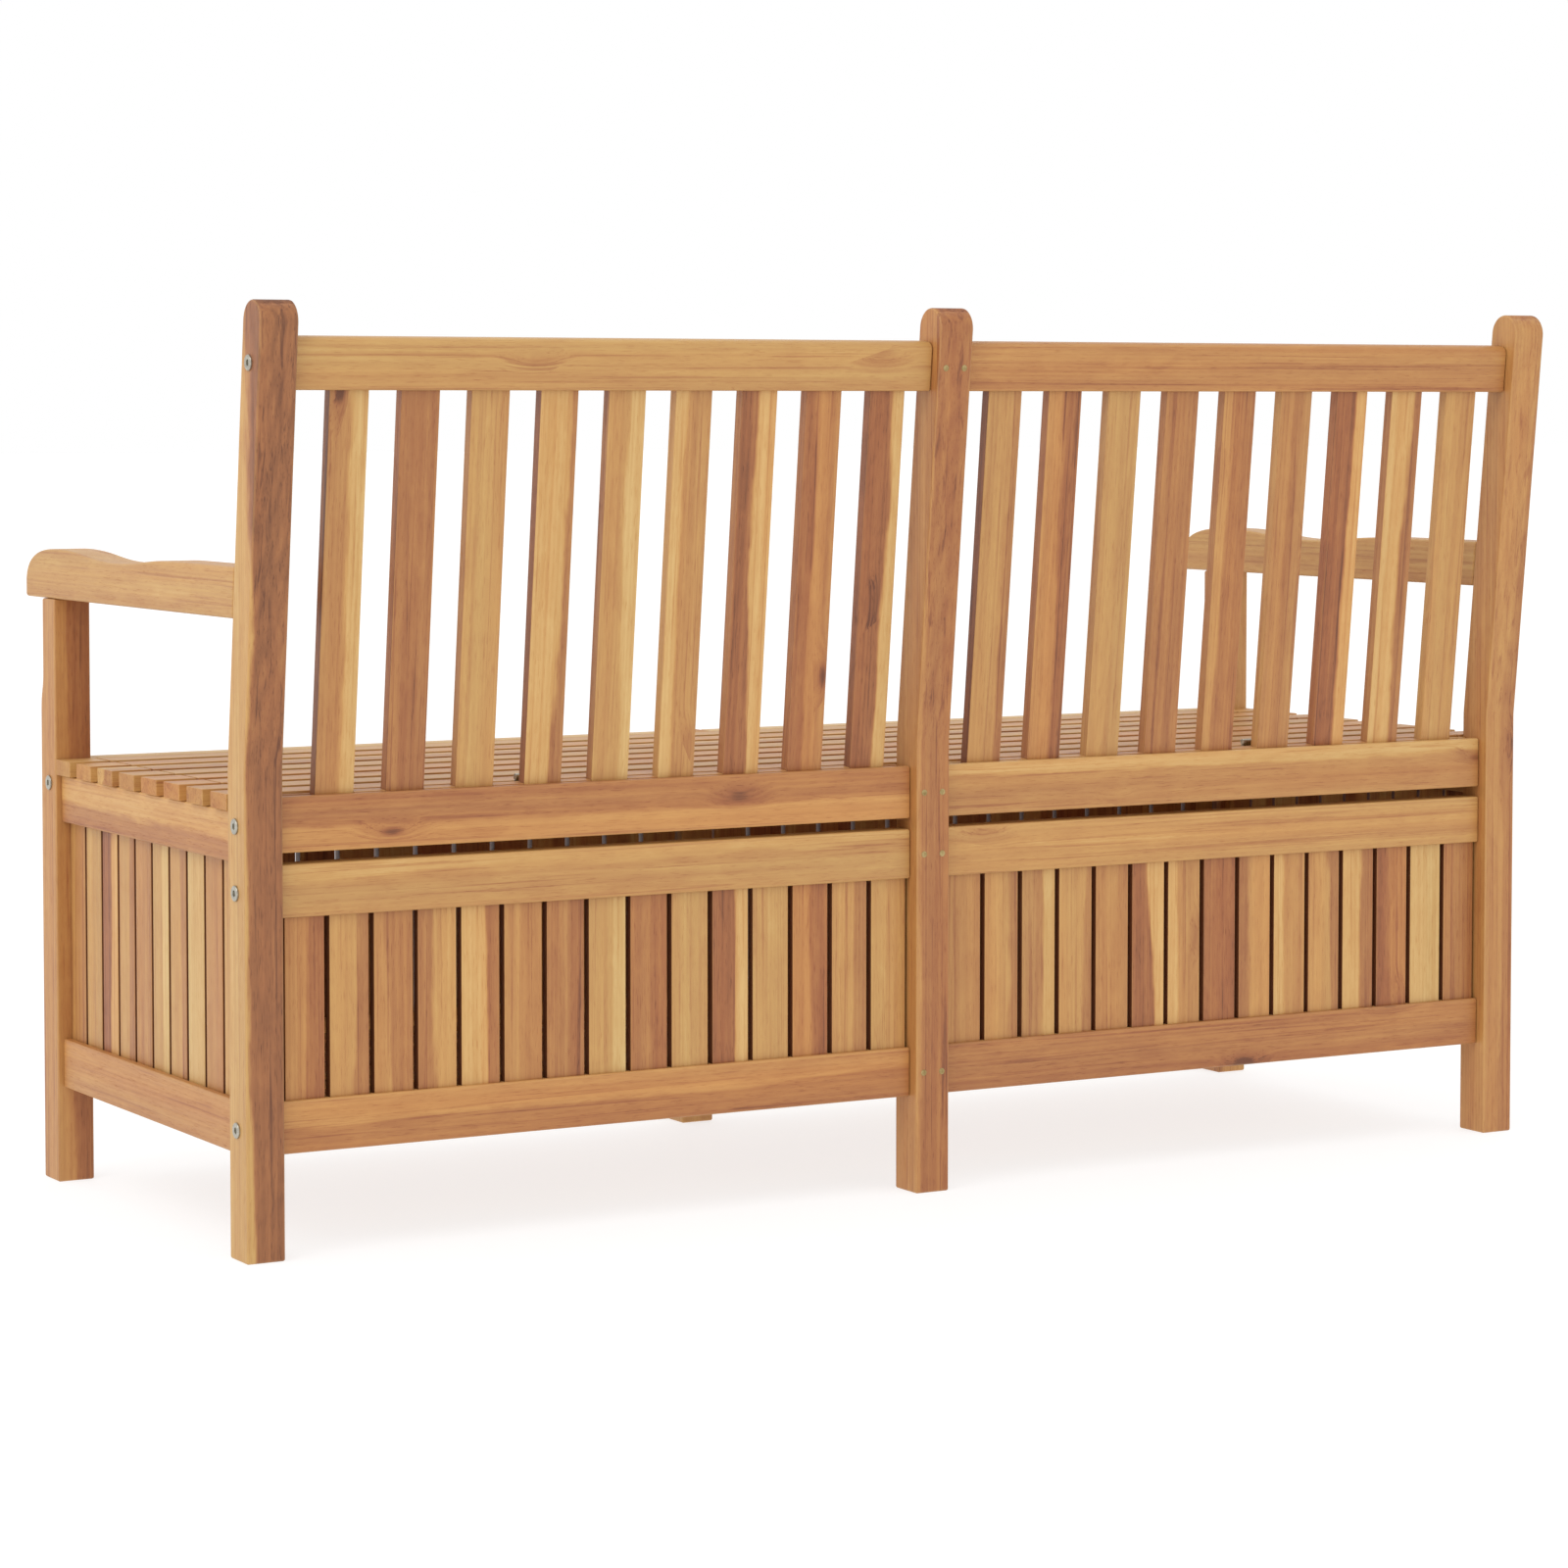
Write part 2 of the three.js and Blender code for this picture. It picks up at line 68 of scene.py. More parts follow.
# An armrest's heights above its underside, and how far behind its tip each comes.
ARM = {"nose": 19 * MM, "crest": 51 * MM, "crest_at": 90 * MM, "dip": 42 * MM, "dip_at": 248 * MM,
       "rear": 48.5 * MM, "rear_at": 400 * MM}
NOSE_CURVE = ((45 * MM, 0), (5 * MM, 4 * MM))  # handles of its nose, behind the tip and below the crest
ARMREST_ARRIS = 3 * MM
FLOOR_BOARD_THICK = 12 * MM
CREST_EDGE = 8 * MM  # radius of the crest rails' top edges
BACKREST_FILLER = 9.4 * MM  # height of the filler strips between the backrest slats' feet
FILLER_ARRIS = 0.4 * MM
SIDE_DEPTH = 0.05 * MM  # corners this close to a board's narrow side take the side's tone, on slats a painted shade
LONG_FACE = 2e-4  # square metres: a slat's side has more, and the slivers beside it less
CURVE_STEPS = 12

BOLT_LIFT = 0.01 * MM  # keeps a bolt's head off the post
BOLT_SOCKET = 2.9 * MM  # half of the socket's width across its flats
BOLT_RIM = ((0, 0.8), (0.12, 0.45), (0.4, 0.15), (0.8, 0))  # mm in from the edge and below the top
SOCKET_STEPS = ((0.2, 0.1), (0, 0.35), (0, 1.5))  # mm out from the flats and below the top
SCREW_RADIUS = 3.2 * MM
HINGE_SCREW_RADIUS = 2.6 * MM
POST_SCREW_SPREAD = 10.7 * MM  # from the middle of the middle post to each of its screws
KNUCKLE_RADIUS = 3.2 * MM
KNUCKLE_SHARES = (0, 0.31, 0.69, 1)  # where the frame's, the lid's and the frame's knuckles part
PIN_RADIUS = 1.5 * MM
LEAF_THICK = 1.5 * MM
LEAF_CORNER = 2 * MM
LEAF_ARRIS = 0.25 * MM
PIN_STEPS = 32

SIDES = (("left", 1), ("right", -1))

# ---- wood grades -------------------------------------------------------------------------------
# How a board is cut from the log: tone of its first edge, tone of its other edge (0 is pale sapwood and
# 1 is the darkest heartwood), where across its width the two meet, and how rosy it is.
GRADES = {
    "straw": (0.16, 0.22, 0.5, 0.15),
    "golden": (0.33, 0.38, 0.5, 0.25),
    "tan": (0.46, 0.52, 0.5, 0.5),
    "brown": (0.60, 0.66, 0.5, 0.6),
    "red": (0.70, 0.76, 0.5, 0.9),
    "straw_brown": (0.18, 0.64, 0.62, 0.5),
    "straw_tan": (0.16, 0.48, 0.3, 0.4),
    "golden_tan": (0.40, 0.62, 0.36, 0.6),
    "peach": (0.30, 0.38, 0.5, 0.70),
    "golden_brown": (0.34, 0.60, 0.72, 0.4),
    "golden_straw": (0.38, 0.15, 0.6, 0.15),
    "tan_red": (0.44, 0.72, 0.55, 0.8),
    "tan_straw": (0.50, 0.18, 0.68, 0.3),
    "brown_golden": (0.66, 0.34, 0.36, 0.5),
    "red_straw": (0.76, 0.15, 0.62, 0.75),
    "red_tan": (0.74, 0.50, 0.4, 0.85),
    "straw_post": (0.26, 0.80, 0.10, 0.15),
    "golden_post": (0.42, 0.64, 0.08, 0.60),
    "tan_post": (0.44, 0.62, 0.55, 0.40),
    "leg": (0.42, 0.70, 0.16, 0.6),
    "red_golden": (0.62, 0.38, 0.66, 0.7),
    "straw_golden": (0.22, 0.38, 0.30, 0.2),
    "straw_red": (0.26, 0.62, 0.60, 0.8),
}
# Boards seen from behind, first the one nearest the left end (+X).
BACKREST_GRADES = {
    "left": "tan_straw brown golden straw_brown golden_straw straw_tan red_straw red_tan red_straw".split(),
    "right": "golden_brown tan_red golden brown golden_tan tan red_straw straw_brown golden".split(),
}
BACK_BOX_GRADES = {
    "left": ("tan_red golden_brown golden_tan brown_golden straw_brown tan brown golden_straw brown golden "
             "red_straw golden tan_red golden_brown golden").split(),
    "right": ("tan golden_brown tan_straw golden_brown tan red_straw straw_tan red brown_golden straw_tan "
              "golden_brown straw_brown red_tan straw brown").split(),
}
# Tones of the backrest slats' narrow sides, partly the wood's own tone and partly painted shade of the
# gaps between them, and one for the sides of all the box slats, which is painted shade of the dark gaps
# into the box. Past 1 it stays at the darkest colour whatever the grain adds.
BACKREST_SIDE_TONES_AND_SHADE = {
    "left": (0.88, 0.75, 0.6, 0.88, 0.66, 0.3, 0.62, 0.66, 0.86),
    "right": (0.9, 0.7, 0.5, 0.62, 0.56, 0.4, 0.66, 0.6, 0.3),
}
BOX_SLAT_SIDE_SHADE = 1.2
BOX_SLATS = len(BACK_BOX_GRADES["left"])
# Boards of the left end, first the one nearest the front.
END_BOX_GRADES = "tan golden red_straw golden_brown tan golden_straw golden_brown straw tan golden".split()
LID_GRADES = "peach golden peach peach golden tan_straw peach golden".split()


class BenchFinish(bpy.types.PropertyGroup):
    """How the bench's wood is sawn and finished."""

    arris: FloatProperty(
        name="Arris", description="Radius of the rounded edges of posts and rails",
        default=2.2 * MM, min=0.5 * MM, max=5 * MM, unit="LENGTH", precision=4)
    slat_arris: FloatProperty(
        name="Slat arris", description="Radius of the rounded edges of slats",
        default=0.8 * MM, min=0.3 * MM, max=3 * MM, unit="LENGTH", precision=4)
    ring_spacing: FloatProperty(
        name="Ring spacing", description="Distance between growth rings",
        default=4.2 * MM, min=1 * MM, max=12 * MM, unit="LENGTH", precision=4)
    oil_roughness: FloatProperty(
        name="Oil roughness", description="Roughness of the oiled surface",
        default=0.46, min=0.1, max=1.0, subtype="FACTOR")
    seed: IntProperty(
        name="Seed", description="Changes every board's grain and how the unseen ones are cut",
        default=11, min=0)


class BenchStage(bpy.types.PropertyGroup):
    """The studio that the bench stands in."""

    floor_colour: FloatVectorProperty(
        name="Floor colour", description="Colour of the lit floor",
        default=(0.3, 0.3, 0.3), min=0, max=1, size=3, subtype="COLOR")
    sky_strength: FloatProperty(
        name="Sky strength", description="Strength of the light from all round", default=1.0, min=0)
    key_power: FloatProperty(
        name="Key power", description="Power of the large soft lamp", default=42, min=0, unit="POWER")


# ---- materials ---------------------------------------------------------------------------------
def linear(code):
    """A hex colour in sRGB as a linear colour with alpha."""
    shares = [int(code[i:i + 2], 16) / 255 for i in (1, 3, 5)]
    return tuple(c / 12.92 if c <= 0.04045 else ((c + 0.055) / 1.055) ** 2.4 for c in shares) + (1.0,)


def add_node(tree, kind, inputs=None, **settings):
    """Adds a node, sets it, and links or fills its inputs. A node given stands for its first output."""
    node = tree.nodes.new("ShaderNode" + kind)
    for name, value in settings.items():
        setattr(node, name, value)
    for socket, value in (inputs or {}).items():
        if isinstance(value, bpy.types.Node):
            value = value.outputs[0]
        if isinstance(value, bpy.types.NodeSocket):
            tree.links.new(value, node.inputs[socket])
        else:
            node.inputs[socket].default_value = value
    return node


def set_stops(ramp, stops):
    """Gives a colour ramp node its stops, as (place, hex colour) pairs."""
    elements = ramp.color_ramp.elements
    while len(elements) < len(stops):
        elements.new(1.0)
    for element, (place, code) in zip(elements, stops, strict=True):
        element.position = place
        element.color = linear(code)


def new_material(name):
    material = bpy.data.materials.new(name)
    material.use_nodes = True
    tree = material.node_tree
    return material, tree, tree.nodes["Principled BSDF"]


# Colours of golden and of rosy boards, from the palest sapwood to the darkest heartwood.
GOLDEN_TONES = ((0.0, "#d2b174"), (0.25, "#c39859"), (0.5, "#b3814b"), (0.75, "#9c643a"), (1.0, "#6b3e23"))
ROSY_TONES = ((0.0, "#d7a866"), (0.25, "#c88f4f"), (0.5, "#b47740"), (0.75, "#9b5b32"), (1.0, "#6a391e"))
# Colour that the rounded edges are lightened towards: partly wear, partly a painted highlight along them.
WORN_EDGE_AND_HIGHLIGHT = "#d0a96e"
KNOT_CHANCE = 0.05
# A feature's length and width in mm, then the noise's detail, roughness and distortion. The pores are drawn
# 0.75 mm wide, because a real one, about 0.2 mm, is too fine to show.
WOOD_PATTERNS = {
    "waver": (300, 30, 2.0, 0.5, 0.0),
    "ripple": (45, 12, 2.0, 0.5, 0.0),
    "streaks": (520, 9, 2.5, 0.55, 0.4),
    "fine": (160, 2.6, 2.0, 0.6, 0.0),
    "figure": (55, 16, 4.0, 0.6, 0.6),
    "veins": (380, 5, 3.0, 0.6, 0.8),
    "pores": (14, 0.75, 1.0, 0.5, 0.0),
    "blush": (700, 26, 1.0, 0.5, 0.0),
}


def oiled_acacia(finish):
    """Planed and oiled acacia: strong sapwood and heartwood streaks, faint rings, short pores, few knots.

    The oil gives it a satin sheen, duller in the pores and on end grain."""
    material, tree, shader = new_material("Oiled acacia")
    marks = {name: add_node(tree, "Attribute", attribute_name=name)
             for name in ("grain", "tone", "heart", "arris", "end_grain")}
    grain = marks["grain"].outputs["Vector"]
    end_grain = marks["end_grain"].outputs["Fac"]
    tones = add_node(tree, "SeparateXYZ", {0: marks["tone"].outputs["Vector"]})

    def scaled(vector, along, across):
        """The grain coordinates with features this long along the grain and this wide across it."""
        shares = (1 / along, 1 / across, 1 / across)
        return add_node(tree, "VectorMath", {0: vector, 1: shares}, operation="MULTIPLY")

    def swing(value, amount):
        """A value from 0 to 1 as a swing of this much about zero."""
        centred = add_node(tree, "Math", {0: value, 1: 0.5}, operation="SUBTRACT")
        return add_node(tree, "Math", {0: centred, 1: amount}, operation="MULTIPLY")

    # A knot sits in one cell in about twenty, with a halo that the grain bends round.
    cells = add_node(tree, "TexVoronoi", {
        "Vector": scaled(grain, 95 * MM, 34 * MM), "Scale": 1.0}, feature="F1")
    chance = add_node(tree, "SeparateColor", {0: cells.outputs["Color"]})
    has_knot = add_node(tree, "Math", {0: chance, 1: KNOT_CHANCE}, operation="LESS_THAN")
    discs = []
    for outer, inner in ((0.20, 0.06), (0.55, 0.05)):  # the knot, then its halo, in shares of a cell
        disc = add_node(tree, "MapRange", {
            "Value": cells.outputs["Distance"], "From Min": outer, "From Max": inner},
            interpolation_type="SMOOTHSTEP")
        discs.append(add_node(tree, "Math", {0: disc, 1: has_knot}, operation="MULTIPLY"))
    knot, swirl = discs
    push = add_node(tree, "VectorMath", {0: (0, 9 * MM, 6 * MM), "Scale": swirl}, operation="SCALE")
    bent = add_node(tree, "VectorMath", {0: grain, 1: push}, operation="ADD")
    pattern = {}
    for name, (length, width, detail, roughness, distortion) in WOOD_PATTERNS.items():
        pattern[name] = add_node(tree, "TexNoise", {
            "Vector": scaled(bent, length * MM, width * MM), "Scale": 1.0, "Detail": detail,
            "Roughness": roughness, "Distortion": distortion})

    # Sapwood meets heartwood along a wavering line.
    boundary = marks["heart"].outputs["Fac"]
    for name, amount in (("waver", 22 * MM), ("ripple", 7 * MM)):
        boundary = add_node(tree, "Math", {
            0: boundary, 1: swing(pattern[name], amount)}, operation="ADD")
    heartwood = add_node(tree, "MapRange", {
        "Value": boundary, "From Min": -2.8 * MM, "From Max": 2.8 * MM}, interpolation_type="SMOOTHSTEP")
    tone = add_node(tree, "Mix", {
        0: heartwood, 2: tones.outputs[0], 3: tones.outputs[1]}, data_type="FLOAT")

    # Broad streaks, rings, figure and pores all move the tone a little.
    rings = add_node(tree, "TexWave", {
        "Vector": scaled(bent, 14.0, 1.0), "Scale": math.pi / 10 / finish.ring_spacing, "Distortion": 3.0,
        "Detail": 2.0, "Detail Scale": 0.35, "Detail Roughness": 0.6},
        wave_type="RINGS", rings_direction="X", wave_profile="SIN").outputs["Fac"]
    veins = add_node(tree, "MapRange", {
        "Value": pattern["veins"], "From Min": 0.56, "From Max": 0.68}, interpolation_type="SMOOTHSTEP")
    pores = add_node(tree, "MapRange", {
        "Value": pattern["pores"], "From Min": 0.60, "From Max": 0.72})
    tone = add_node(tree, "Math", {0: tone, 1: 0.02}, operation="SUBTRACT")
    for part, amount in ((pattern["streaks"], 0.42), (pattern["fine"], 0.15), (pattern["figure"], 0.32),
                         (rings, 0.05)):
        tone = add_node(tree, "Math", {0: tone, 1: swing(part, amount)}, operation="ADD")
    for part, amount in ((veins, 0.20), (pores, 0.16), (swirl, 0.20), (knot, 0.36), (end_grain, 0.12)):
        tone = add_node(tree, "Math", {0: part, 1: amount, 2: tone}, operation="MULTIPLY_ADD")

    golden = add_node(tree, "ValToRGB", {0: tone})
    set_stops(golden, GOLDEN_TONES)
    rosy = add_node(tree, "ValToRGB", {0: tone})
    set_stops(rosy, ROSY_TONES)
    rosiness = add_node(tree, "Math", {
        0: tones.outputs[2], 1: swing(pattern["blush"], 1.1)}, operation="ADD", use_clamp=True)
    colour = add_node(tree, "Mix", {0: rosiness, 6: golden, 7: rosy}, data_type="RGBA").outputs[2]
    # The middle of each rounded edge is lightened a little: partly wear, partly a painted highlight.
    edge_wear_and_highlight = add_node(tree, "Math", {0: marks["arris"].outputs["Fac"], 1: 0.16}, operation="MULTIPLY")
    colour = add_node(tree, "Mix", {0: edge_wear_and_highlight, 6: colour, 7: linear(WORN_EDGE_AND_HIGHLIGHT)},
                      data_type="RGBA").outputs[2]
    tree.links.new(colour, shader.inputs["Base Color"])

    roughness = add_node(tree, "Math", {
        0: swing(pattern["fine"], 0.18), 1: finish.oil_roughness}, operation="ADD")
    for part, amount in ((pores, 0.14), (end_grain, 0.22)):
        roughness = add_node(tree, "Math", {0: part, 1: amount, 2: roughness},
                             operation="MULTIPLY_ADD", use_clamp=True)
    tree.links.new(roughness.outputs[0], shader.inputs["Roughness"])
    softened = add_node(tree, "Math", {0: pattern["fine"], 1: 0.5}, operation="MULTIPLY")
    height = add_node(tree, "Math", {0: softened, 1: pores}, operation="SUBTRACT")
    bump = add_node(tree, "Bump", {"Height": height, "Strength": 0.35, "Distance": 0.15 * MM})
    tree.links.new(bump.outputs[0], shader.inputs["Normal"])
    shader.inputs["IOR"].default_value = 1.5
    return material


def zinc_plated_steel():
    """Bright zinc-plated steel, pressed and tumbled: a soft grey mirror with faint cloudy patches."""
    material, tree, shader = new_material("Zinc-plated steel")
    place = add_node(tree, "TexCoord").outputs["Object"]
    clouds = add_node(tree, "TexNoise", {"Vector": place, "Scale": 1 / (3 * MM), "Detail": 3.0})
    plating = add_node(tree, "ValToRGB", {0: clouds.outputs[0]})
    set_stops(plating, ((0.3, "#9b978b"), (0.7, "#bbb7aa")))
    tree.links.new(plating.outputs[0], shader.inputs["Base Color"])
    rough = add_node(tree, "MapRange", {
        "Value": clouds.outputs[0], "From Min": 0.3, "From Max": 0.7, "To Min": 0.24, "To Max": 0.38})
    tree.links.new(rough.outputs[0], shader.inputs["Roughness"])
    shader.inputs["Metallic"].default_value = 1.0
    return material


def yellow_passivated_steel():
    """Wood-screw steel with a yellow passivated zinc coat: pale brass with a drift of warmer tint."""
    material, tree, shader = new_material("Yellow passivated steel")
    place = add_node(tree, "TexCoord").outputs["Object"]
    drift = add_node(tree, "TexNoise", {"Vector": place, "Scale": 1 / (5 * MM), "Detail": 2.0})
    coat = add_node(tree, "ValToRGB", {0: drift.outputs[0]})
    set_stops(coat, ((0.3, "#8f7a4e"), (0.7, "#b7a273")))
    tree.links.new(coat.outputs[0], shader.inputs["Base Color"])
    rough = add_node(tree, "MapRange", {
        "Value": drift.outputs[0], "From Min": 0.3, "From Max": 0.7, "To Min": 0.3, "To Max": 0.42})
    tree.links.new(rough.outputs[0], shader.inputs["Roughness"])
    shader.inputs["Metallic"].default_value = 1.0
    return material


def lit_acrylic(colour):
    """Matt acrylic lit from below, with a very faint tooth: shadows on it stay pale."""
    material, tree, shader = new_material("Lit matt acrylic")
    place = add_node(tree, "TexCoord").outputs["Object"]
    tooth = add_node(tree, "TexNoise", {"Vector": place, "Scale": 1 / (2 * MM), "Detail": 2.0})
    bump = add_node(tree, "Bump", {"Height": tooth, "Strength": 0.05, "Distance": 0.1 * MM})
    tree.links.new(bump.outputs[0], shader.inputs["Normal"])
    shader.inputs["Base Color"].default_value = (*colour, 1.0)
    shader.inputs["Roughness"].default_value = 0.9
    shader.inputs["Emission Color"].default_value = (1.0, 1.0, 1.0, 1.0)
    shader.inputs["Emission Strength"].default_value = 0.75
    return material


def material_for(name, make, *settings):
    """The material of that name, made the first time it is asked for."""
    return bpy.data.materials.get(name) or make(*settings)


# ---- places read from the frame ----------------------------------------------------------------
def levels(node, axis):
    """The different values of one coordinate among a CAD node's corners, in order."""
    return sorted({round(v.co[axis], 4) for v in frame["nodes"][node].data.vertices})


def slat_sides(node, axis):
    """Where a panel's slats begin and end along one axis, told from the long faces of their sides."""
    faces = [f for f in frame["nodes"][node].data.polygons if abs(f.normal[axis]) > 0.99]
    return sorted({round(f.center[axis], 4) for f in faces if f.area > LONG_FACE})


def pairs(values):
    """Successive (low, high) pairs."""
    return list(zip(values[::2], values[1::2], strict=True))


LEG_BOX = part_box("front_leg_left")
POST_DEPTH = LEG_BOX[1].y - LEG_BOX[0].y
POST_FRONT_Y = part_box("back_post_left")[0].y
BACK_Y = POST_FRONT_Y + POST_DEPTH
LEAN = Matrix.Translation((0, BACK_Y, KINK_HEIGHT)) @ Matrix.Rotation(-RAKE, 4, "X")


def lean_box(node):
    """Lowest and highest corner of a CAD node, in the leaning frame of the backrest."""
    points = [LEAN.inverted() @ v.co for v in frame["nodes"][node].data.vertices]
    return (Vector([min(p[i] for p in points) for i in range(3)]),
            Vector([max(p[i] for p in points) for i in range(3)]))


# ---- solids ------------------------------------------------------------------------------------
# A piece is an outline in (u, v), carried along w. These say where u, v and w point in the row frame.
ALONG_X = Matrix(((0, 0, 1, 0), (1, 0, 0, 0), (0, 1, 0, 0), (0, 0, 0, 1)))  # u is Y and v is Z
ALONG_Y = Matrix(((1, 0, 0, 0), (0, 0, 1, 0), (0, 1, 0, 0), (0, 0, 0, 1)))  # u is X and v is Z
LEANING = LEAN @ ALONG_X
SHARP = math.radians(25)


def rectangle(u0, u1, v0, v1):
    return [(u0, v0), (u1, v0), (u1, v1), (u0, v1)]


def arc(centre, radius, start, end, steps=CURVE_STEPS):
    """Points of an arc, from one angle to another."""
    angles = [start + (end - start) * i / steps for i in range(steps + 1)]
    return [(centre[0] + radius * math.cos(a), centre[1] + radius * math.sin(a)) for a in angles]


def circle(centre, radius):
    """Points all round a circle, its first point not repeated."""
    return arc(centre, radius, 0, math.tau * (PIN_STEPS - 1) / PIN_STEPS, PIN_STEPS - 1)


def bezier(p0, p1, p2, p3, steps=CURVE_STEPS):
    """Points of a cubic curve, without its first point."""
    points = []
    for i in range(1, steps + 1):
        t = i / steps
        weights = ((1 - t) ** 3, 3 * t * (1 - t) ** 2, 3 * t * t * (1 - t), t ** 3)
        points.append(tuple(sum(w * p[k] for w, p in zip(weights, (p0, p1, p2, p3))) for k in (0, 1)))
    return points


def add_prism(bm, outline, reach, arris, segments=3):
    """Adds an outline carried along w, its outer edges rounded. Returns the middle points of those edges."""
    low = [bm.verts.new((u, v, reach[0])) for u, v in outline]
    high = [bm.verts.new((u, v, reach[1])) for u, v in outline]
    faces = [bm.faces.new(reversed(low)), bm.faces.new(high)]
    count = len(outline)
    for i in range(count):
        j = (i + 1) % count
        faces.append(bm.faces.new((low[i], low[j], high[j], high[i])))
    bmesh.ops.recalc_face_normals(bm, faces=faces)
    edges = {e for f in faces for e in f.edges}
    rounded = [e for e in edges if e.calc_face_angle(0) > SHARP and e.is_convex]
    made = bmesh.ops.bevel(bm, geom=rounded, offset=arris, segments=segments, profile=0.5,
                           affect="EDGES", clamp_overlap=True)
    strips = set(made["faces"])
    return {v for f in strips for v in f.verts if all(other in strips for other in v.link_faces)}


def piece_from(bm, name, place, material, node, body):
    """Turns a bmesh into a piece that rides on a body and stands for a CAD node."""
    for face in bm.faces:
        face.smooth = True
    for edge in bm.edges:
        edge.smooth = edge.calc_face_angle(0) < SHARP
    mesh = bpy.data.meshes.new(name)
    bm.to_mesh(mesh)
    bm.free()
    mesh.transform(place)
    if place.determinant() < 0:
        mesh.flip_normals()
    mesh.materials.append(material)
    piece = bpy.data.objects.new(name, mesh)
    bpy.context.scene.collection.objects.link(piece)
    piece.modifiers.new("Even faces", "WEIGHTED_NORMAL").keep_sharp = True
    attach(piece, body)
    if node:
        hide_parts(node)
    return piece


def board(name, outline, reach, node, grade, grain="w", across="u", first="high", place=ALONG_X,
          body="frame", arris=None, sides=None):
    """One sawn board. grain and across name the axes along the grain and across the board's face, and first
    says whether the grade's first tone is at the high or the low end of across. sides is the tone of the
    board's two narrow sides, where it differs from its faces: on the box slats it is painted shade of the
    dark gaps between them, and on the backrest slats partly the wood's own tone and partly painted shade."""
    finish = bpy.context.scene.bench_finish
    bm = bmesh.new()
    middles = add_prism(bm, outline, reach, arris or finish.arris)
    bm.verts.index_update()
    # The middles of the rounded edges, where wear and a painted highlight lighten the colour.
    edge_wear_and_highlight = {v.index for v in middles}
    axes = ["uvw".index(grain), "uvw".index(across)]
    axes.append(3 - sum(axes))
    spots = [Vector([v.co[axis] for axis in axes]) for v in bm.verts]
    low = Vector([min(s[i] for s in spots) for i in range(3)])
    high = Vector([max(s[i] for s in spots) for i in range(3)])
    ends = [1.0 if abs(f.normal[axes[0]]) > 0.8 else 0.0 for f in bm.faces]

    chance = random.Random(f"{name} {finish.seed}")
    first_tone, other_tone, meeting, rosy = GRADES[grade]
    lift = chance.uniform(-0.03, 0.03)
    tone = (first_tone + lift, other_tone + lift, rosy + chance.uniform(-0.15, 0.15))
    pith_angle = chance.uniform(0, math.tau)
    pith = chance.uniform(25, 90) * MM
    shift = Vector((chance.uniform(0, 9), pith * math.cos(pith_angle), pith * math.sin(pith_angle)))
    slant = chance.uniform(-8, 8) * MM / (high.x - low.x)
    skew = chance.uniform(-0.5, 0.5)
    middle = (low + high) / 2
    hearts = []
    for s in spots:
        crossed = high.y - s.y if first == "high" else s.y - low.y
        crossed -= meeting * (high.y - low.y)
        hearts.append(crossed + slant * (s.x - middle.x) + skew * (s.z - middle.z))

    tones = [tone] * len(spots)
    # The narrow sides take the side tone: painted shade of the gaps between slats, on the backrest partly
    # the wood's own tone too.
    if sides is not None:
        on_side = [min(s.y - low.y, high.y - s.y) < SIDE_DEPTH for s in spots]
        tones = [(sides, sides, tone[2]) if flag else tone for flag in on_side]

    wood = material_for("Oiled acacia", oiled_acacia, finish)
    piece = piece_from(bm, name, place, wood, node, body)
    values = {
        ("grain", "FLOAT_VECTOR", "POINT"): [x for s in spots for x in s - middle + shift],
        ("tone", "FLOAT_VECTOR", "POINT"): [x for row in tones for x in row],
        ("heart", "FLOAT", "POINT"): hearts,
        ("arris", "FLOAT", "POINT"): [1.0 if i in edge_wear_and_highlight else 0.0 for i in range(len(spots))],
        ("end_grain", "FLOAT", "FACE"): ends,
    }
    for (label, kind, domain), numbers in values.items():
        made = piece.data.attributes.new(label, kind, domain)
        made.data.foreach_set("vector" if kind == "FLOAT_VECTOR" else "value", numbers)
    return piece


def grooved(u, v, groove, opens_up):
    """Outline of a rail with a slat groove in its top or its underside. u and v are ranges, and groove is a
    range of u and a depth."""
    (u0, u1), (v0, v1), (g0, g1, depth) = u, v, groove
    if opens_up:
        notch = [(g1, v1), (g1, v1 - depth), (g0, v1 - depth), (g0, v1)]
        return [(u0, v0), (u1, v0), (u1, v1), *notch, (u0, v1)]
    notch = [(g0, v0), (g0, v0 + depth), (g1, v0 + depth), (g1, v0)]
    return [(u0, v0), *notch, (u1, v0), (u1, v1), (u0, v1)]


def any_grade(name):
    """A grade for a board that nothing else settles, the same each time."""
    return random.Random(f"grade of {name} {bpy.context.scene.bench_finish.seed}").choice(sorted(GRADES))


# ---- posts and legs ----------------------------------------------------------------------------
def back_post_outline():
    round_radius = (POST_DEPTH / 2) * math.cos(RAKE)
    round_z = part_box("back_post_left")[1].z - round_radius
    round_y = BACK_Y + (round_z - KINK_HEIGHT) * math.tan(RAKE) - POST_DEPTH / 2
    ease = KINK_EASING * math.tan(RAKE / 2)
    points = [(POST_FRONT_Y, 0), (BACK_Y, 0)]
    # The back's bend is hollow and the front's is full, each eased by an arc.
    points += arc((BACK_Y + KINK_EASING, KINK_HEIGHT - ease), KINK_EASING, math.pi, math.pi - RAKE, 4)
    points += arc((round_y, round_z), round_radius, -RAKE, math.pi - RAKE, 2 * CURVE_STEPS)
    front = arc((POST_FRONT_Y + KINK_EASING, KINK_HEIGHT - ease), KINK_EASING, math.pi - RAKE, math.pi, 4)
    return points + front


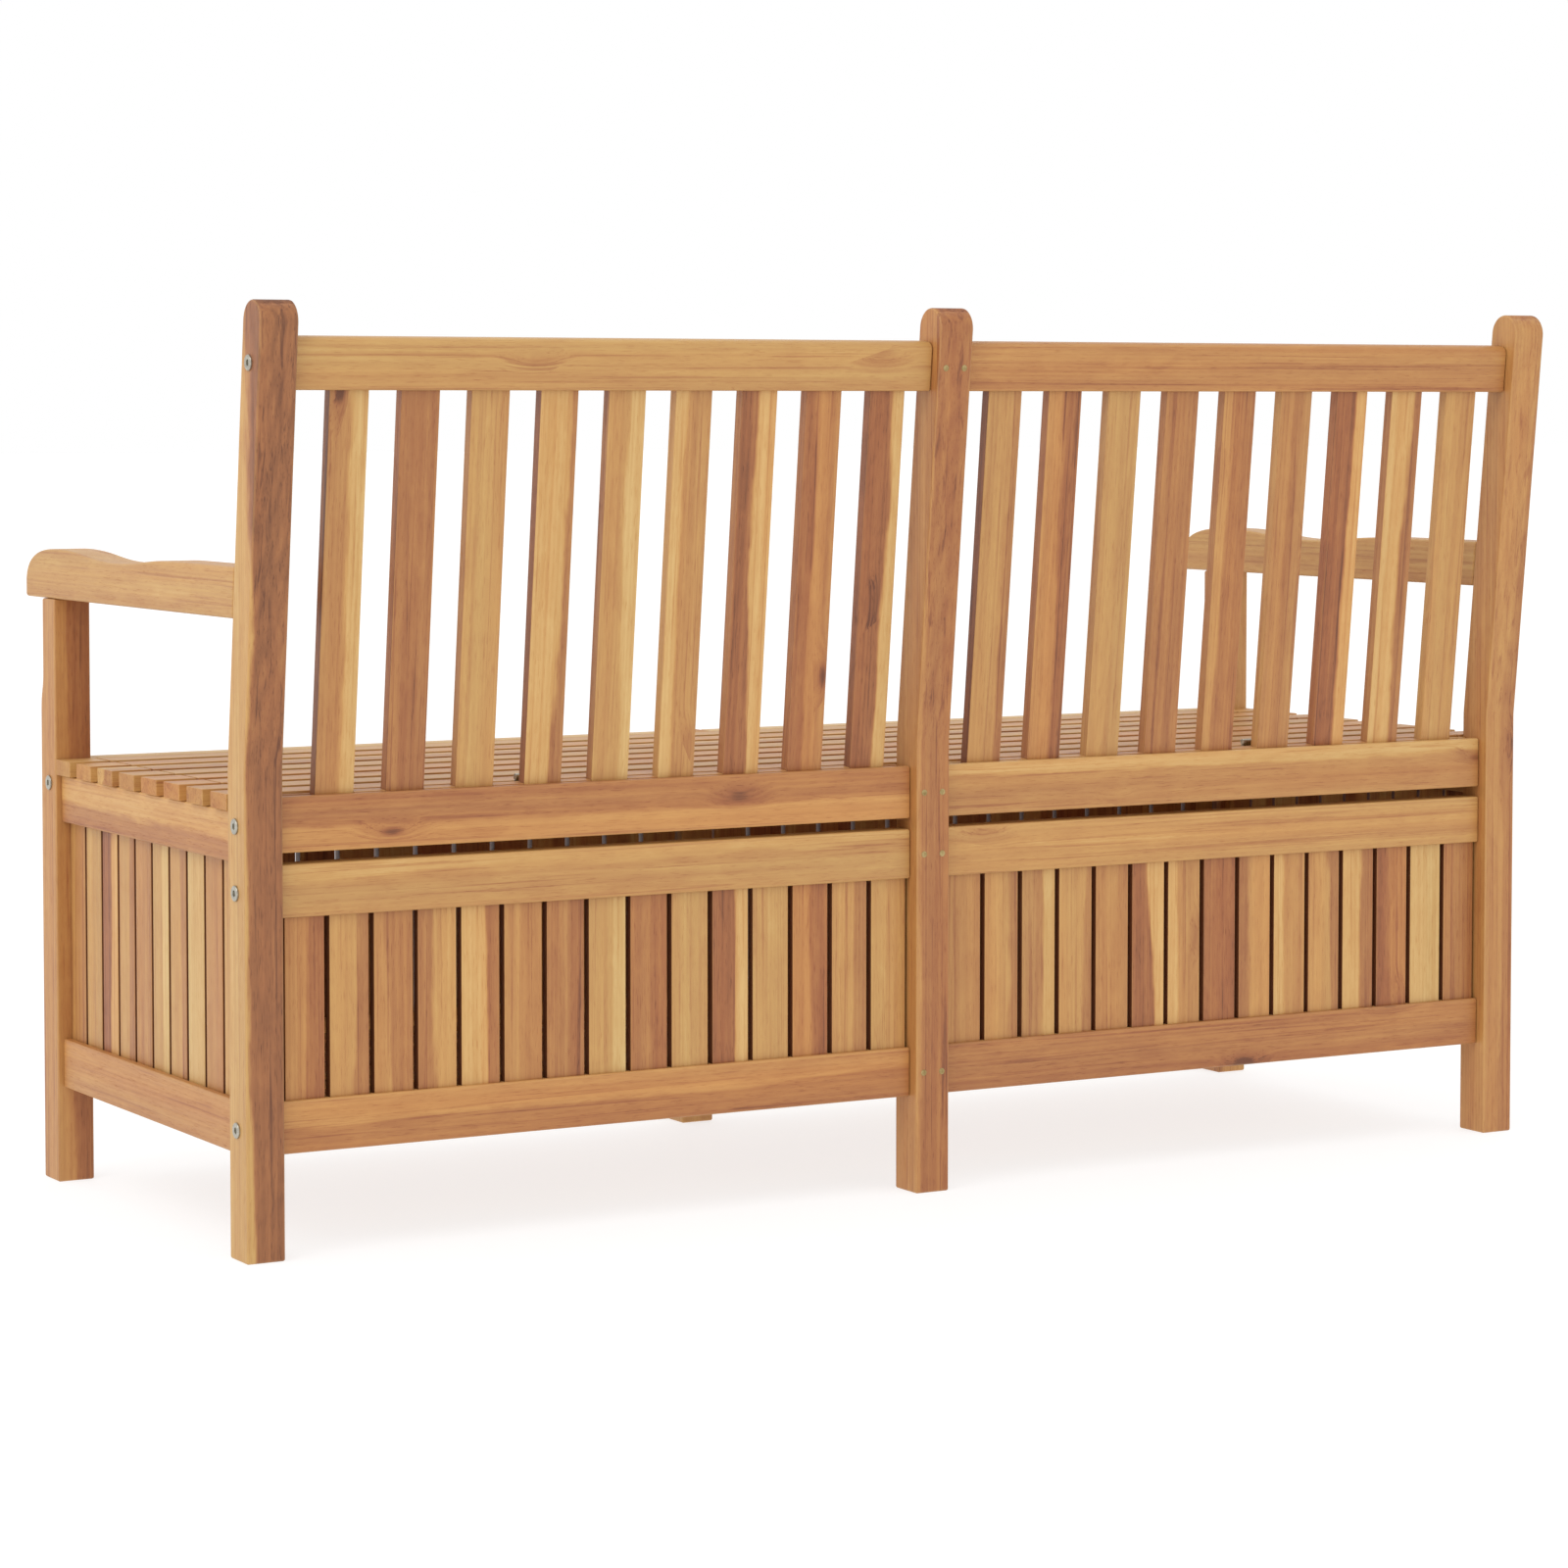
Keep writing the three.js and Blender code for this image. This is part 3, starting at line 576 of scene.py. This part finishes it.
def corner_leg_outline():
    (front, back), (low, high) = (LEG_BOX[0].y, LEG_BOX[1].y), LEG_SHOULDER
    top, upper, middle = LEG_BOX[1].z, LEG_BOX[1].y - LEG_UPPER_DEPTH, sum(LEG_SHOULDER) / 2
    shoulder = [(upper, high), *bezier((upper, high), (upper, middle), (front, middle), (front, low))]
    return [(front, 0), (back, 0), (back, top), (upper, top), *shoulder]


class BENCH_OT_posts(bpy.types.Operator):
    """Make the three back posts and the three front legs"""

    bl_idname = "bench.posts"
    bl_label = "Posts and Legs"

    def execute(self, context):
        for place, grade in (("left", "straw_post"), ("middle", "golden_post"), ("right", "tan_post")):
            name = f"back_post_{place}"
            low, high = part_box(name)
            board(name + "_wood", back_post_outline(), (low.x, high.x), name, grade, grain="v", across="w")
        for name, grade in (("front_leg_left", "leg"), ("front_leg_right", "brown_golden")):
            low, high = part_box(name)
            board(name + "_wood", corner_leg_outline(), (low.x, high.x), name, grade, grain="v", across="w")
        low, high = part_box("front_leg_middle")
        board("front_leg_middle_wood", rectangle(low.y, high.y, low.z, high.z), (low.x, high.x),
              "front_leg_middle", "golden", grain="v", across="w")
        return {"FINISHED"}


# ---- rails -------------------------------------------------------------------------------------
def bay_rail(name, panel, opens_up, grade):
    """A rail between two posts, with a groove for the slats of a panel."""
    low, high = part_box(name)
    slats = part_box(panel)
    depth = (high.z - slats[0].z if opens_up else slats[1].z - low.z) + GAP
    groove = (slats[0].y - GAP, slats[1].y + GAP, depth)
    outline = grooved((low.y, high.y), (low.z, high.z), groove, opens_up)
    board(name + "_wood", outline, (low.x, high.x), name, grade, across="v")


def lower_back_rail(name, panel, grade):
    """The rail that the leaning slats stand in: its groove is as wide as their lean needs."""
    low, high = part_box(name)
    slats = lean_box(panel)
    foot = [LEAN @ Vector((0, y, slats[0].z)) for y in (slats[0].y, slats[1].y)]
    depth = high.z - min(p.z for p in foot) + GAP
    mouth = [LEAN @ Vector((0, y, slats[0].z + depth)) for y in (slats[0].y, slats[1].y)]
    groove = (foot[0].y - GAP, mouth[1].y + 2 * GAP, depth)
    outline = grooved((low.y, high.y), (low.z, high.z), groove, True)
    board(name + "_wood", outline, (low.x, high.x), name, grade, across="v")


def crest_rail(name, panel, grade):
    low, high = lean_box(name)
    slats = lean_box(panel)
    groove = (slats[0].y - GAP, slats[1].y + GAP, slats[1].z - low.z + GAP)
    outline = grooved((low.y, high.y), (low.z, high.z), groove, False)[:-2]
    outline += arc((high.y - CREST_EDGE, high.z - CREST_EDGE), CREST_EDGE, 0, math.pi / 2)
    outline += arc((low.y + CREST_EDGE, high.z - CREST_EDGE), CREST_EDGE, math.pi / 2, math.pi)
    board(name + "_wood", outline, (low.x, high.x), name, grade, across="v", place=LEANING)


def end_rail(name, panel, opens_up, grade):
    low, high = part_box(name)
    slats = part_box(panel)
    depth = (high.z - slats[0].z if opens_up else slats[1].z - low.z) + GAP
    groove = (slats[0].x - GAP, slats[1].x + GAP, depth)
    outline = grooved((low.x, high.x), (low.z, high.z), groove, opens_up)
    board(name + "_wood", outline, (low.y, high.y), name, grade, across="v", place=ALONG_Y)


class BENCH_OT_rails(bpy.types.Operator):
    """Make the rails that join the posts and legs, with grooves for the slats"""

    bl_idname = "bench.rails"
    bl_label = "Rails"

    def execute(self, context):
        crest = {"left": "golden", "right": "tan"}
        lower = {"left": "red_golden", "right": "straw_tan"}
        upper = {"left": "straw_golden", "right": "golden"}
        bottom = {"left": "golden_tan", "right": "brown"}
        end_top = {"left": "straw_red", "right": "golden"}
        end_bottom = {"left": "tan", "right": "brown"}
        for side, _ in SIDES:
            crest_rail(f"crest_rail_{side}", f"backrest_slats_{side}", crest[side])
            lower_back_rail(f"lower_back_rail_{side}", f"backrest_slats_{side}", lower[side])
            bay_rail(f"back_upper_box_rail_{side}", f"back_panel_slats_{side}", False, upper[side])
            bay_rail(f"back_bottom_rail_{side}", f"back_panel_slats_{side}", True, bottom[side])
            bay_rail(f"front_top_rail_{side}", f"front_panel_slats_{side}", False, "straw")
            bay_rail(f"front_bottom_rail_{side}", f"front_panel_slats_{side}", True, "golden_brown")
            end_rail(f"end_top_rail_{side}", f"end_panel_slats_{side}", False, end_top[side])
            end_rail(f"end_bottom_rail_{side}", f"end_panel_slats_{side}", True, end_bottom[side])
        return {"FINISHED"}


# ---- slats -------------------------------------------------------------------------------------
def bay_slats(panel, label, grades, sides, place, low, high, rail_gap):
    """The slats of one panel between two posts, from the left (+X) on, and their filler strips."""
    finish = bpy.context.scene.bench_finish
    ranges = pairs(slat_sides(panel, 0))[::-1]
    for i, (x0, x1) in enumerate(ranges):
        name = f"{label}_{i + 1}"
        grade = grades[i] if grades else any_grade(name)
        board(name, rectangle(low.y, high.y, low.z, high.z), (x0, x1), panel, grade, grain="v", across="w",
              place=place, arris=finish.slat_arris, sides=sides[i])
    for end, (z0, z1) in (("foot", (low.z, rail_gap[0])), ("head", (rail_gap[1], high.z))):
        for i in range(len(ranges) - 1):
            x0, x1 = ranges[i + 1][1] + GAP, ranges[i][0] - GAP
            board(f"{label}_{end}_filler_{i + 1}", rectangle(low.y, high.y, z0, z1), (x0, x1), panel, "tan",
                  place=place, arris=FILLER_ARRIS)


class BENCH_OT_slats(bpy.types.Operator):
    """Make the slats of the backrest and of the box's four sides"""

    bl_idname = "bench.slats"
    bl_label = "Slats"

    def execute(self, context):
        for side, _ in SIDES:
            panel = f"backrest_slats_{side}"
            low, high = lean_box(panel)
            crest_low = lean_box(f"crest_rail_{side}")[0].z
            # The slats' narrow sides are darkened: painted shade of the gaps between them, on the backrest
            # partly the wood's own tone.
            bay_slats(panel, f"backrest_slat_{side}", BACKREST_GRADES[side], BACKREST_SIDE_TONES_AND_SHADE[side], LEANING,
                      low, high, (low.z + BACKREST_FILLER, crest_low + GAP))
            for face, grades in (("back", BACK_BOX_GRADES[side]), ("front", None)):
                panel = f"{face}_panel_slats_{side}"
                low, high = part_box(panel)
                upper = "back_upper_box_rail" if face == "back" else "front_top_rail"
                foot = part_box(f"{face}_bottom_rail_{side}")[1].z - GAP
                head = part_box(f"{upper}_{side}")[0].z + GAP
                bay_slats(panel, f"{face}_slat_{side}", grades, [BOX_SLAT_SIDE_SHADE] * BOX_SLATS, ALONG_X,
                          low, high, (foot, head))
            self.end_slats(side)
        return {"FINISHED"}

    def end_slats(self, side):
        arris = bpy.context.scene.bench_finish.slat_arris
        panel = f"end_panel_slats_{side}"
        low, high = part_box(panel)
        for i, (y0, y1) in enumerate(pairs(slat_sides(panel, 1))):
            name = f"end_slat_{side}_{i + 1}"
            grade = END_BOX_GRADES[i] if side == "left" else any_grade(name)
            # The end slats' narrow sides are darkened as painted shade of the gaps between them.
            board(name, rectangle(y0, y1, low.z, high.z), (low.x, high.x), panel, grade, grain="v",
                  across="u", first="low", arris=arris, sides=BOX_SLAT_SIDE_SHADE)


# ---- armrests ----------------------------------------------------------------------------------
def armrest_outline():
    low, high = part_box("armrest_left")
    tip, under = low.y, low.z
    crest, dip, rear = (under + ARM[key] for key in ("crest", "dip", "rear"))
    lean_at = [POST_FRONT_Y + (z - KINK_HEIGHT) * math.tan(RAKE) - GAP for z in (under, rear)]
    points = [(tip, under), (lean_at[0], under), (lean_at[1], rear)]
    # The top runs level at the post, sinks to the dip and rises to the crest behind the nose.
    stations = [(lean_at[1], rear), (tip + ARM["rear_at"], rear), (tip + ARM["dip_at"], dip),
                (tip + ARM["crest_at"], crest)]
    for (y0, z0), (y1, z1) in zip(stations, stations[1:]):
        reach = (y1 - y0) * 0.45
        points += bezier((y0, z0), (y0 + reach, z0), (y1 - reach, z1), (y1, z1))
    nose = under + ARM["nose"]
    handles = [(tip + back, crest - drop) for back, drop in NOSE_CURVE]
    points += bezier((tip + ARM["crest_at"], crest), *handles, (tip, nose))
    return points


class BENCH_OT_armrests(bpy.types.Operator):
    """Make the two armrests"""

    bl_idname = "bench.armrests"
    bl_label = "Armrests"

    def execute(self, context):
        for side, _ in SIDES:
            name = f"armrest_{side}"
            low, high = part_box(name)
            board(name + "_wood", armrest_outline(), (low.x, high.x), name, "golden", grain="u", across="v",
                  arris=ARMREST_ARRIS)
        return {"FINISHED"}


# ---- seat --------------------------------------------------------------------------------------
class BENCH_OT_seat_ends(bpy.types.Operator):
    """Make the fixed slat ends, the ledgers under the lid's ends and the centre support"""

    bl_idname = "bench.seat_ends"
    bl_label = "Fixed Seat Ends"

    def execute(self, context):
        arris = context.scene.bench_finish.slat_arris
        seat_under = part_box("lid_slat_1")[0].z
        for side, sign in SIDES:
            node = f"seat_end_blocks_{side}"
            low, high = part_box(node)
            across = levels(node, 0)  # the ledger's edges and the slat ends' edges
            ledger, ends = ((across[0], across[2]), (across[1], across[3]))
            if sign < 0:
                ledger, ends = ends, ledger
            for i, (y0, y1) in enumerate(pairs(levels(node, 1)[1:-1])[::-1]):
                board(f"seat_end_{side}_{i + 1}", rectangle(y0, y1, seat_under, high.z), ends, node,
                      LID_GRADES[i], across="u", arris=arris)
            board(f"seat_ledger_{side}", rectangle(*ledger, low.z, seat_under - GAP), (low.y, high.y), node,
                  "golden", place=ALONG_Y)
        low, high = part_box("seat_centre_support")
        board("seat_centre_support_wood", rectangle(low.x, high.x, low.z, high.z), (low.y, high.y),
              "seat_centre_support", "tan", place=ALONG_Y)
        return {"FINISHED"}


class BENCH_OT_lid(bpy.types.Operator):
    """Make the hinged lid: eight slats on two battens"""

    bl_idname = "bench.lid"
    bl_label = "Lid"

    def execute(self, context):
        arris = context.scene.bench_finish.slat_arris
        for i, grade in enumerate(LID_GRADES):
            name = f"lid_slat_{i + 1}"
            low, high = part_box(name)
            board(name + "_wood", rectangle(low.y, high.y, low.z, high.z), (low.x, high.x), name, grade,
                  across="u", body="lid", arris=arris)
        for side, _ in SIDES:
            name = f"lid_batten_{side}"
            low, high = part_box(name)
            board(name + "_wood", rectangle(low.x, high.x, low.z, high.z), (low.y, high.y), name, "tan",
                  place=ALONG_Y, body="lid")
        return {"FINISHED"}


class BENCH_OT_floor_boards(bpy.types.Operator):
    """Make the box's floor boards and their bearers"""

    bl_idname = "bench.floor_boards"
    bl_label = "Floor Boards"

    def execute(self, context):
        low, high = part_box("floor_boards")
        underside = high.z - FLOOR_BOARD_THICK
        for i, (y0, y1) in enumerate(pairs(levels("floor_boards", 1)[1:-1])):
            name = f"floor_board_{i + 1}"
            board(name, rectangle(y0, y1, underside, high.z), (low.x, high.x), "floor_boards",
                  any_grade(name), across="u", arris=context.scene.bench_finish.slat_arris)
        for i, (x0, x1) in enumerate(pairs(levels("floor_boards", 0)[1:-1])):
            board(f"floor_bearer_{i + 1}", rectangle(x0, x1, low.z, underside - GAP), (low.y, high.y),
                  "floor_boards", "tan", place=ALONG_Y)
        return {"FINISHED"}


# ---- metal -------------------------------------------------------------------------------------
ROUND_STEPS = 48


def round_edge(radius):
    return lambda angle: radius


def hexagon(apothem):
    """Radius of a hexagon with this half width across its flats, at an angle."""
    return lambda angle: apothem / math.cos((angle + math.pi / 6) % (math.pi / 3) - math.pi / 6)


def cross(reach):
    """Radius of a cross recess with four rounded arms."""
    return lambda angle: reach * (0.42 + 0.58 * abs(math.cos(2 * angle)) ** 3)


def add_turned(bm, rings, place):
    """Adds a closed turned solid: rings of (radius at an angle, height), closed at both ends by a point."""
    angles = [math.tau * i / ROUND_STEPS for i in range(ROUND_STEPS)]
    rows = [[bm.verts.new(place @ Vector((r(a) * math.cos(a), r(a) * math.sin(a), h))) for a in angles]
            for r, h in rings]
    first = bm.verts.new(place @ Vector((0, 0, rings[0][1])))
    last = bm.verts.new(place @ Vector((0, 0, rings[-1][1])))
    for i in range(ROUND_STEPS):
        j = (i + 1) % ROUND_STEPS
        for below, above in zip(rows, rows[1:]):
            bm.faces.new((below[i], below[j], above[j], above[i]))
        bm.faces.new((first, rows[0][j], rows[0][i]))
        bm.faces.new((last, rows[-1][i], rows[-1][j]))


def aimed(point, direction):
    """Places a turned piece's foot at a point, with its axis in that direction."""
    return Matrix.Translation(point) @ direction.to_track_quat("Z", "Y").to_matrix().to_4x4()


def bolt_rings(radius, thick):
    """A flat connector-bolt head with an eased rim and a hexagon socket."""
    rim = [(round_edge(radius - inset * MM), thick - drop * MM) for inset, drop in BOLT_RIM]
    socket = [(hexagon(BOLT_SOCKET + extra * MM), thick - drop * MM) for extra, drop in SOCKET_STEPS]
    return [(round_edge(radius), 0), *rim, (round_edge(BOLT_SOCKET + 1.0 * MM), thick), *socket]


def screw_rings(radius):
    """A countersunk wood screw's head, a touch proud, with a cross recess."""
    return [
        (round_edge(radius), 0), (round_edge(radius), 0.15 * MM),
        (round_edge(radius - 0.25 * MM), 0.32 * MM), (round_edge(radius * 0.72), 0.36 * MM),
        (cross(radius * 0.62), 0.34 * MM), (cross(radius * 0.5), 0.05 * MM),
    ]


def turned_piece(name, rings, places, material, node, body):
    """One piece with the same turned solid at each place."""
    bm = bmesh.new()
    for place in places:
        add_turned(bm, rings, place)
    bmesh.ops.recalc_face_normals(bm, faces=bm.faces)
    return piece_from(bm, name, Matrix.Identity(4), material, node, body)


class BENCH_OT_bolts(bpy.types.Operator):
    """Make the ten connector bolts"""

    bl_idname = "bench.bolts"
    bl_label = "Bolts"

    def execute(self, context):
        zinc = material_for("Zinc-plated steel", zinc_plated_steel)
        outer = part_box("back_post_left")[1].x
        for node in sorted(frame["nodes"]):
            if not node.startswith("bolt_"):
                continue
            low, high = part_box(node)
            sign = 1 if high.x > 0 else -1
            thick = max(abs(low.x), abs(high.x)) - outer
            foot = Vector((sign * (outer + BOLT_LIFT), (low.y + high.y) / 2, (low.z + high.z) / 2))
            rings = bolt_rings((high.y - low.y) / 2, thick - BOLT_LIFT)
            turned_piece(node + "_head", rings, [aimed(foot, Vector((sign, 0, 0)))], zinc, node, "frame")
        return {"FINISHED"}


class BENCH_OT_hinges(bpy.types.Operator):
    """Make the lid's two butt hinges with their screws"""

    bl_idname = "bench.hinges"
    bl_label = "Hinges"

    def execute(self, context):
        zinc = material_for("Zinc-plated steel", zinc_plated_steel)
        joint = next(j for j in frame["joints"] if j["name"] == "lid_hinge")
        axis_y, axis_z = joint["pos_m"][1:]
        for side, _ in SIDES:
            frame_leaf, lid_leaf = f"hinge_{side}_frame_leaf", f"hinge_{side}_lid_leaf"
            self.leaf(frame_leaf, "frame", axis_y, axis_z, zinc)
            self.leaf(lid_leaf, "lid", axis_y, axis_z, zinc)
        return {"FINISHED"}

    def leaf(self, node, body, axis_y, axis_z, zinc):
        """A plate under the pin's axis, with its share of the knuckles and, on the frame, the pin."""
        low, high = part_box(node)
        ends = [low.x + share * (high.x - low.x) for share in KNUCKLE_SHARES]
        below = axis_z - KNUCKLE_RADIUS - GAP
        on_lid = body == "lid"
        depths = [p.co.y for p in frame["nodes"][node].data.vertices if p.co.z < below]
        front = max(depths) - LEAF_THICK if on_lid else min(depths)
        plate = (front, max(depths) if on_lid else front + LEAF_THICK)
        outline = rectangle(low.x, high.x, low.z, below)
        corner_z = low.z + LEAF_CORNER
        outline[:2] = (arc((low.x + LEAF_CORNER, corner_z), LEAF_CORNER, math.pi, 1.5 * math.pi, 4)
                       + arc((high.x - LEAF_CORNER, corner_z), LEAF_CORNER, 1.5 * math.pi, math.tau, 4))
        bm = bmesh.new()
        add_prism(bm, outline, plate, LEAF_ARRIS, 2)
        bmesh.ops.transform(bm, matrix=ALONG_Y, verts=bm.verts)
        turned = bmesh.new()
        web = rectangle(*plate, below + 0.05 * MM, axis_z - KNUCKLE_RADIUS * 0.5)
        runs = [(ends[1], ends[2])] if on_lid else [(ends[0], ends[1] - GAP), (ends[2] + GAP, ends[3])]
        for run in runs:
            add_prism(turned, circle((axis_y, axis_z), KNUCKLE_RADIUS), run, LEAF_ARRIS, 2)
            add_prism(turned, web, run, 0.1 * MM, 1)
        if not on_lid:
            add_prism(turned, circle((axis_y, axis_z), PIN_RADIUS),
                      (ends[1] - 0.2 * MM, ends[2] + 0.2 * MM), 0.1 * MM, 1)
        bmesh.ops.transform(turned, matrix=ALONG_X, verts=turned.verts)
        part = bpy.data.meshes.new("knuckles")
        turned.to_mesh(part)
        turned.free()
        bm.from_mesh(part)
        bpy.data.meshes.remove(part)
        bmesh.ops.recalc_face_normals(bm, faces=bm.faces)
        piece_from(bm, node + "_plate", Matrix.Identity(4), zinc, node, body)
        outward = Vector((0, 1 if on_lid else -1, 0))
        face_y = plate[1] if on_lid else plate[0]
        mid_z = (low.z + below) / 2
        spots = [Vector((low.x + (high.x - low.x) * share, face_y, mid_z)) for share in (0.2, 0.8)]
        turned_piece(node + "_screws", screw_rings(HINGE_SCREW_RADIUS), [aimed(s, outward) for s in spots],
                     zinc, None, body)


class BENCH_OT_screws(bpy.types.Operator):
    """Make the screws of the middle post, the lid's battens and the floor boards"""

    bl_idname = "bench.screws"
    bl_label = "Screws"

    def execute(self, context):
        brassy = material_for("Yellow passivated steel", yellow_passivated_steel)
        zinc = material_for("Zinc-plated steel", zinc_plated_steel)
        middle = sum(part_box("back_post_middle")[i].x for i in (0, 1)) / 2
        backward = Vector((0, 1, 0))
        spots = []
        for rail in ("lower_back_rail_left", "back_upper_box_rail_left", "back_bottom_rail_left"):
            low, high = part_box(rail)
            for offset in (POST_SCREW_SPREAD, -POST_SCREW_SPREAD):
                spots.append(aimed(Vector((middle + offset, BACK_Y, (low.z + high.z) / 2)), backward))
        low, high = lean_box("crest_rail_left")
        for offset in (POST_SCREW_SPREAD, -POST_SCREW_SPREAD):
            point = LEAN @ Vector((middle + offset, 0, (low.z + high.z) / 2))
            spots.append(aimed(point, LEAN.to_3x3() @ backward))
        turned_piece("middle_post_screws", screw_rings(SCREW_RADIUS), spots, brassy, None, "frame")

        for side, _ in SIDES:
            low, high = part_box(f"lid_batten_{side}")
            spots = []
            for i in range(len(LID_GRADES)):
                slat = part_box(f"lid_slat_{i + 1}")
                y = (slat[0].y + slat[1].y) / 2
                spots.append(aimed(Vector(((low.x + high.x) / 2, y, low.z)), Vector((0, 0, -1))))
            turned_piece(f"lid_batten_{side}_screws", screw_rings(SCREW_RADIUS), spots, zinc, None, "lid")

        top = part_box("floor_boards")[1].z
        spots = []
        for x0, x1 in pairs(levels("floor_boards", 0)[1:-1]):
            for y0, y1 in pairs(levels("floor_boards", 1)[1:-1]):
                spots.append(aimed(Vector(((x0 + x1) / 2, (y0 + y1) / 2, top)), Vector((0, 0, 1))))
        turned_piece("floor_board_screws", screw_rings(SCREW_RADIUS), spots, zinc, None, "frame")
        return {"FINISHED"}


# ---- stage -------------------------------------------------------------------------------------
def add_lamp(name, location, target, size, power):
    lamp = bpy.data.lights.new(name, "AREA")
    lamp.shape = "DISK"
    lamp.size = size
    lamp.energy = power
    holder = bpy.data.objects.new(name, lamp)
    holder.location = location
    holder.rotation_euler = (Vector(target) - Vector(location)).to_track_quat("-Z", "Y").to_euler()
    bpy.context.scene.collection.objects.link(holder)


class BENCH_OT_stage(bpy.types.Operator):
    """Make the camera, the pale floor and the soft lights"""

    bl_idname = "bench.stage"
    bl_label = "Stage"

    def execute(self, context):
        scene = context.scene
        settings = scene.bench_stage
        camera_data = bpy.data.cameras.new("Camera")
        camera_data.sensor_width = 36
        camera_data.lens = 98.91
        camera_data.shift_x, camera_data.shift_y = 0.0129, -0.0991
        camera = bpy.data.objects.new("Camera", camera_data)
        camera.location = (2.3005, 3.9485, 0.8004)
        camera.rotation_euler = (math.radians(87), 0, math.radians(150.265))
        scene.collection.objects.link(camera)
        scene.camera = camera

        half = 60  # metres, so that no edge shows
        mesh = bpy.data.meshes.new("Floor")
        corners = [(-half, -half, 0), (half, -half, 0), (half, half, 0), (-half, half, 0)]
        mesh.from_pydata(corners, [], [(0, 1, 2, 3)])
        mesh.materials.append(material_for("Lit matt acrylic", lit_acrylic, tuple(settings.floor_colour)))
        floor = bpy.data.objects.new("Floor", mesh)
        scene.collection.objects.link(floor)

        world = bpy.data.worlds.new("Studio")
        scene.world = world
        world.use_nodes = True
        background = world.node_tree.nodes["Background"]
        background.inputs["Color"].default_value = (1.0, 1.0, 1.0, 1.0)
        background.inputs["Strength"].default_value = settings.sky_strength
        add_lamp("Key", (3.4, 1.4, 3.6), (0, 0, 0.4), 2.6, settings.key_power)
        add_lamp("Fill", (-1.5, 4.5, 2.2), (0, 0, 0.4), 3.0, settings.key_power * 0.15)
        scene.view_settings.view_transform = "Standard"
        return {"FINISHED"}


class BENCH_PT_panel(bpy.types.Panel):
    """The bench's pieces and finishes"""

    bl_label = "Storage Bench"
    bl_idname = "BENCH_PT_panel"
    bl_space_type = "VIEW_3D"
    bl_region_type = "UI"
    bl_category = "Bench"

    def draw(self, context):
        layout = self.layout
        for group in (context.scene.bench_finish, context.scene.bench_stage):
            for name in group.__annotations__:
                layout.prop(group, name)
        for operator in OPERATORS:
            layout.operator(operator.bl_idname)


OPERATORS = (
    BENCH_OT_stage, BENCH_OT_posts, BENCH_OT_rails, BENCH_OT_slats, BENCH_OT_armrests, BENCH_OT_seat_ends,
    BENCH_OT_lid, BENCH_OT_floor_boards, BENCH_OT_bolts, BENCH_OT_hinges, BENCH_OT_screws,
)
CLASSES = (BenchFinish, BenchStage, *OPERATORS, BENCH_PT_panel)


def register():
    for cls in CLASSES:
        bpy.utils.register_class(cls)
    bpy.types.Scene.bench_finish = PointerProperty(type=BenchFinish)
    bpy.types.Scene.bench_stage = PointerProperty(type=BenchStage)


def unregister():
    del bpy.types.Scene.bench_stage
    del bpy.types.Scene.bench_finish
    for cls in reversed(CLASSES):
        bpy.utils.unregister_class(cls)


def main():
    register()
    for operator in OPERATORS:
        group, name = operator.bl_idname.split(".")
        getattr(getattr(bpy.ops, group), name)()


if __name__ == "__main__":
    main()
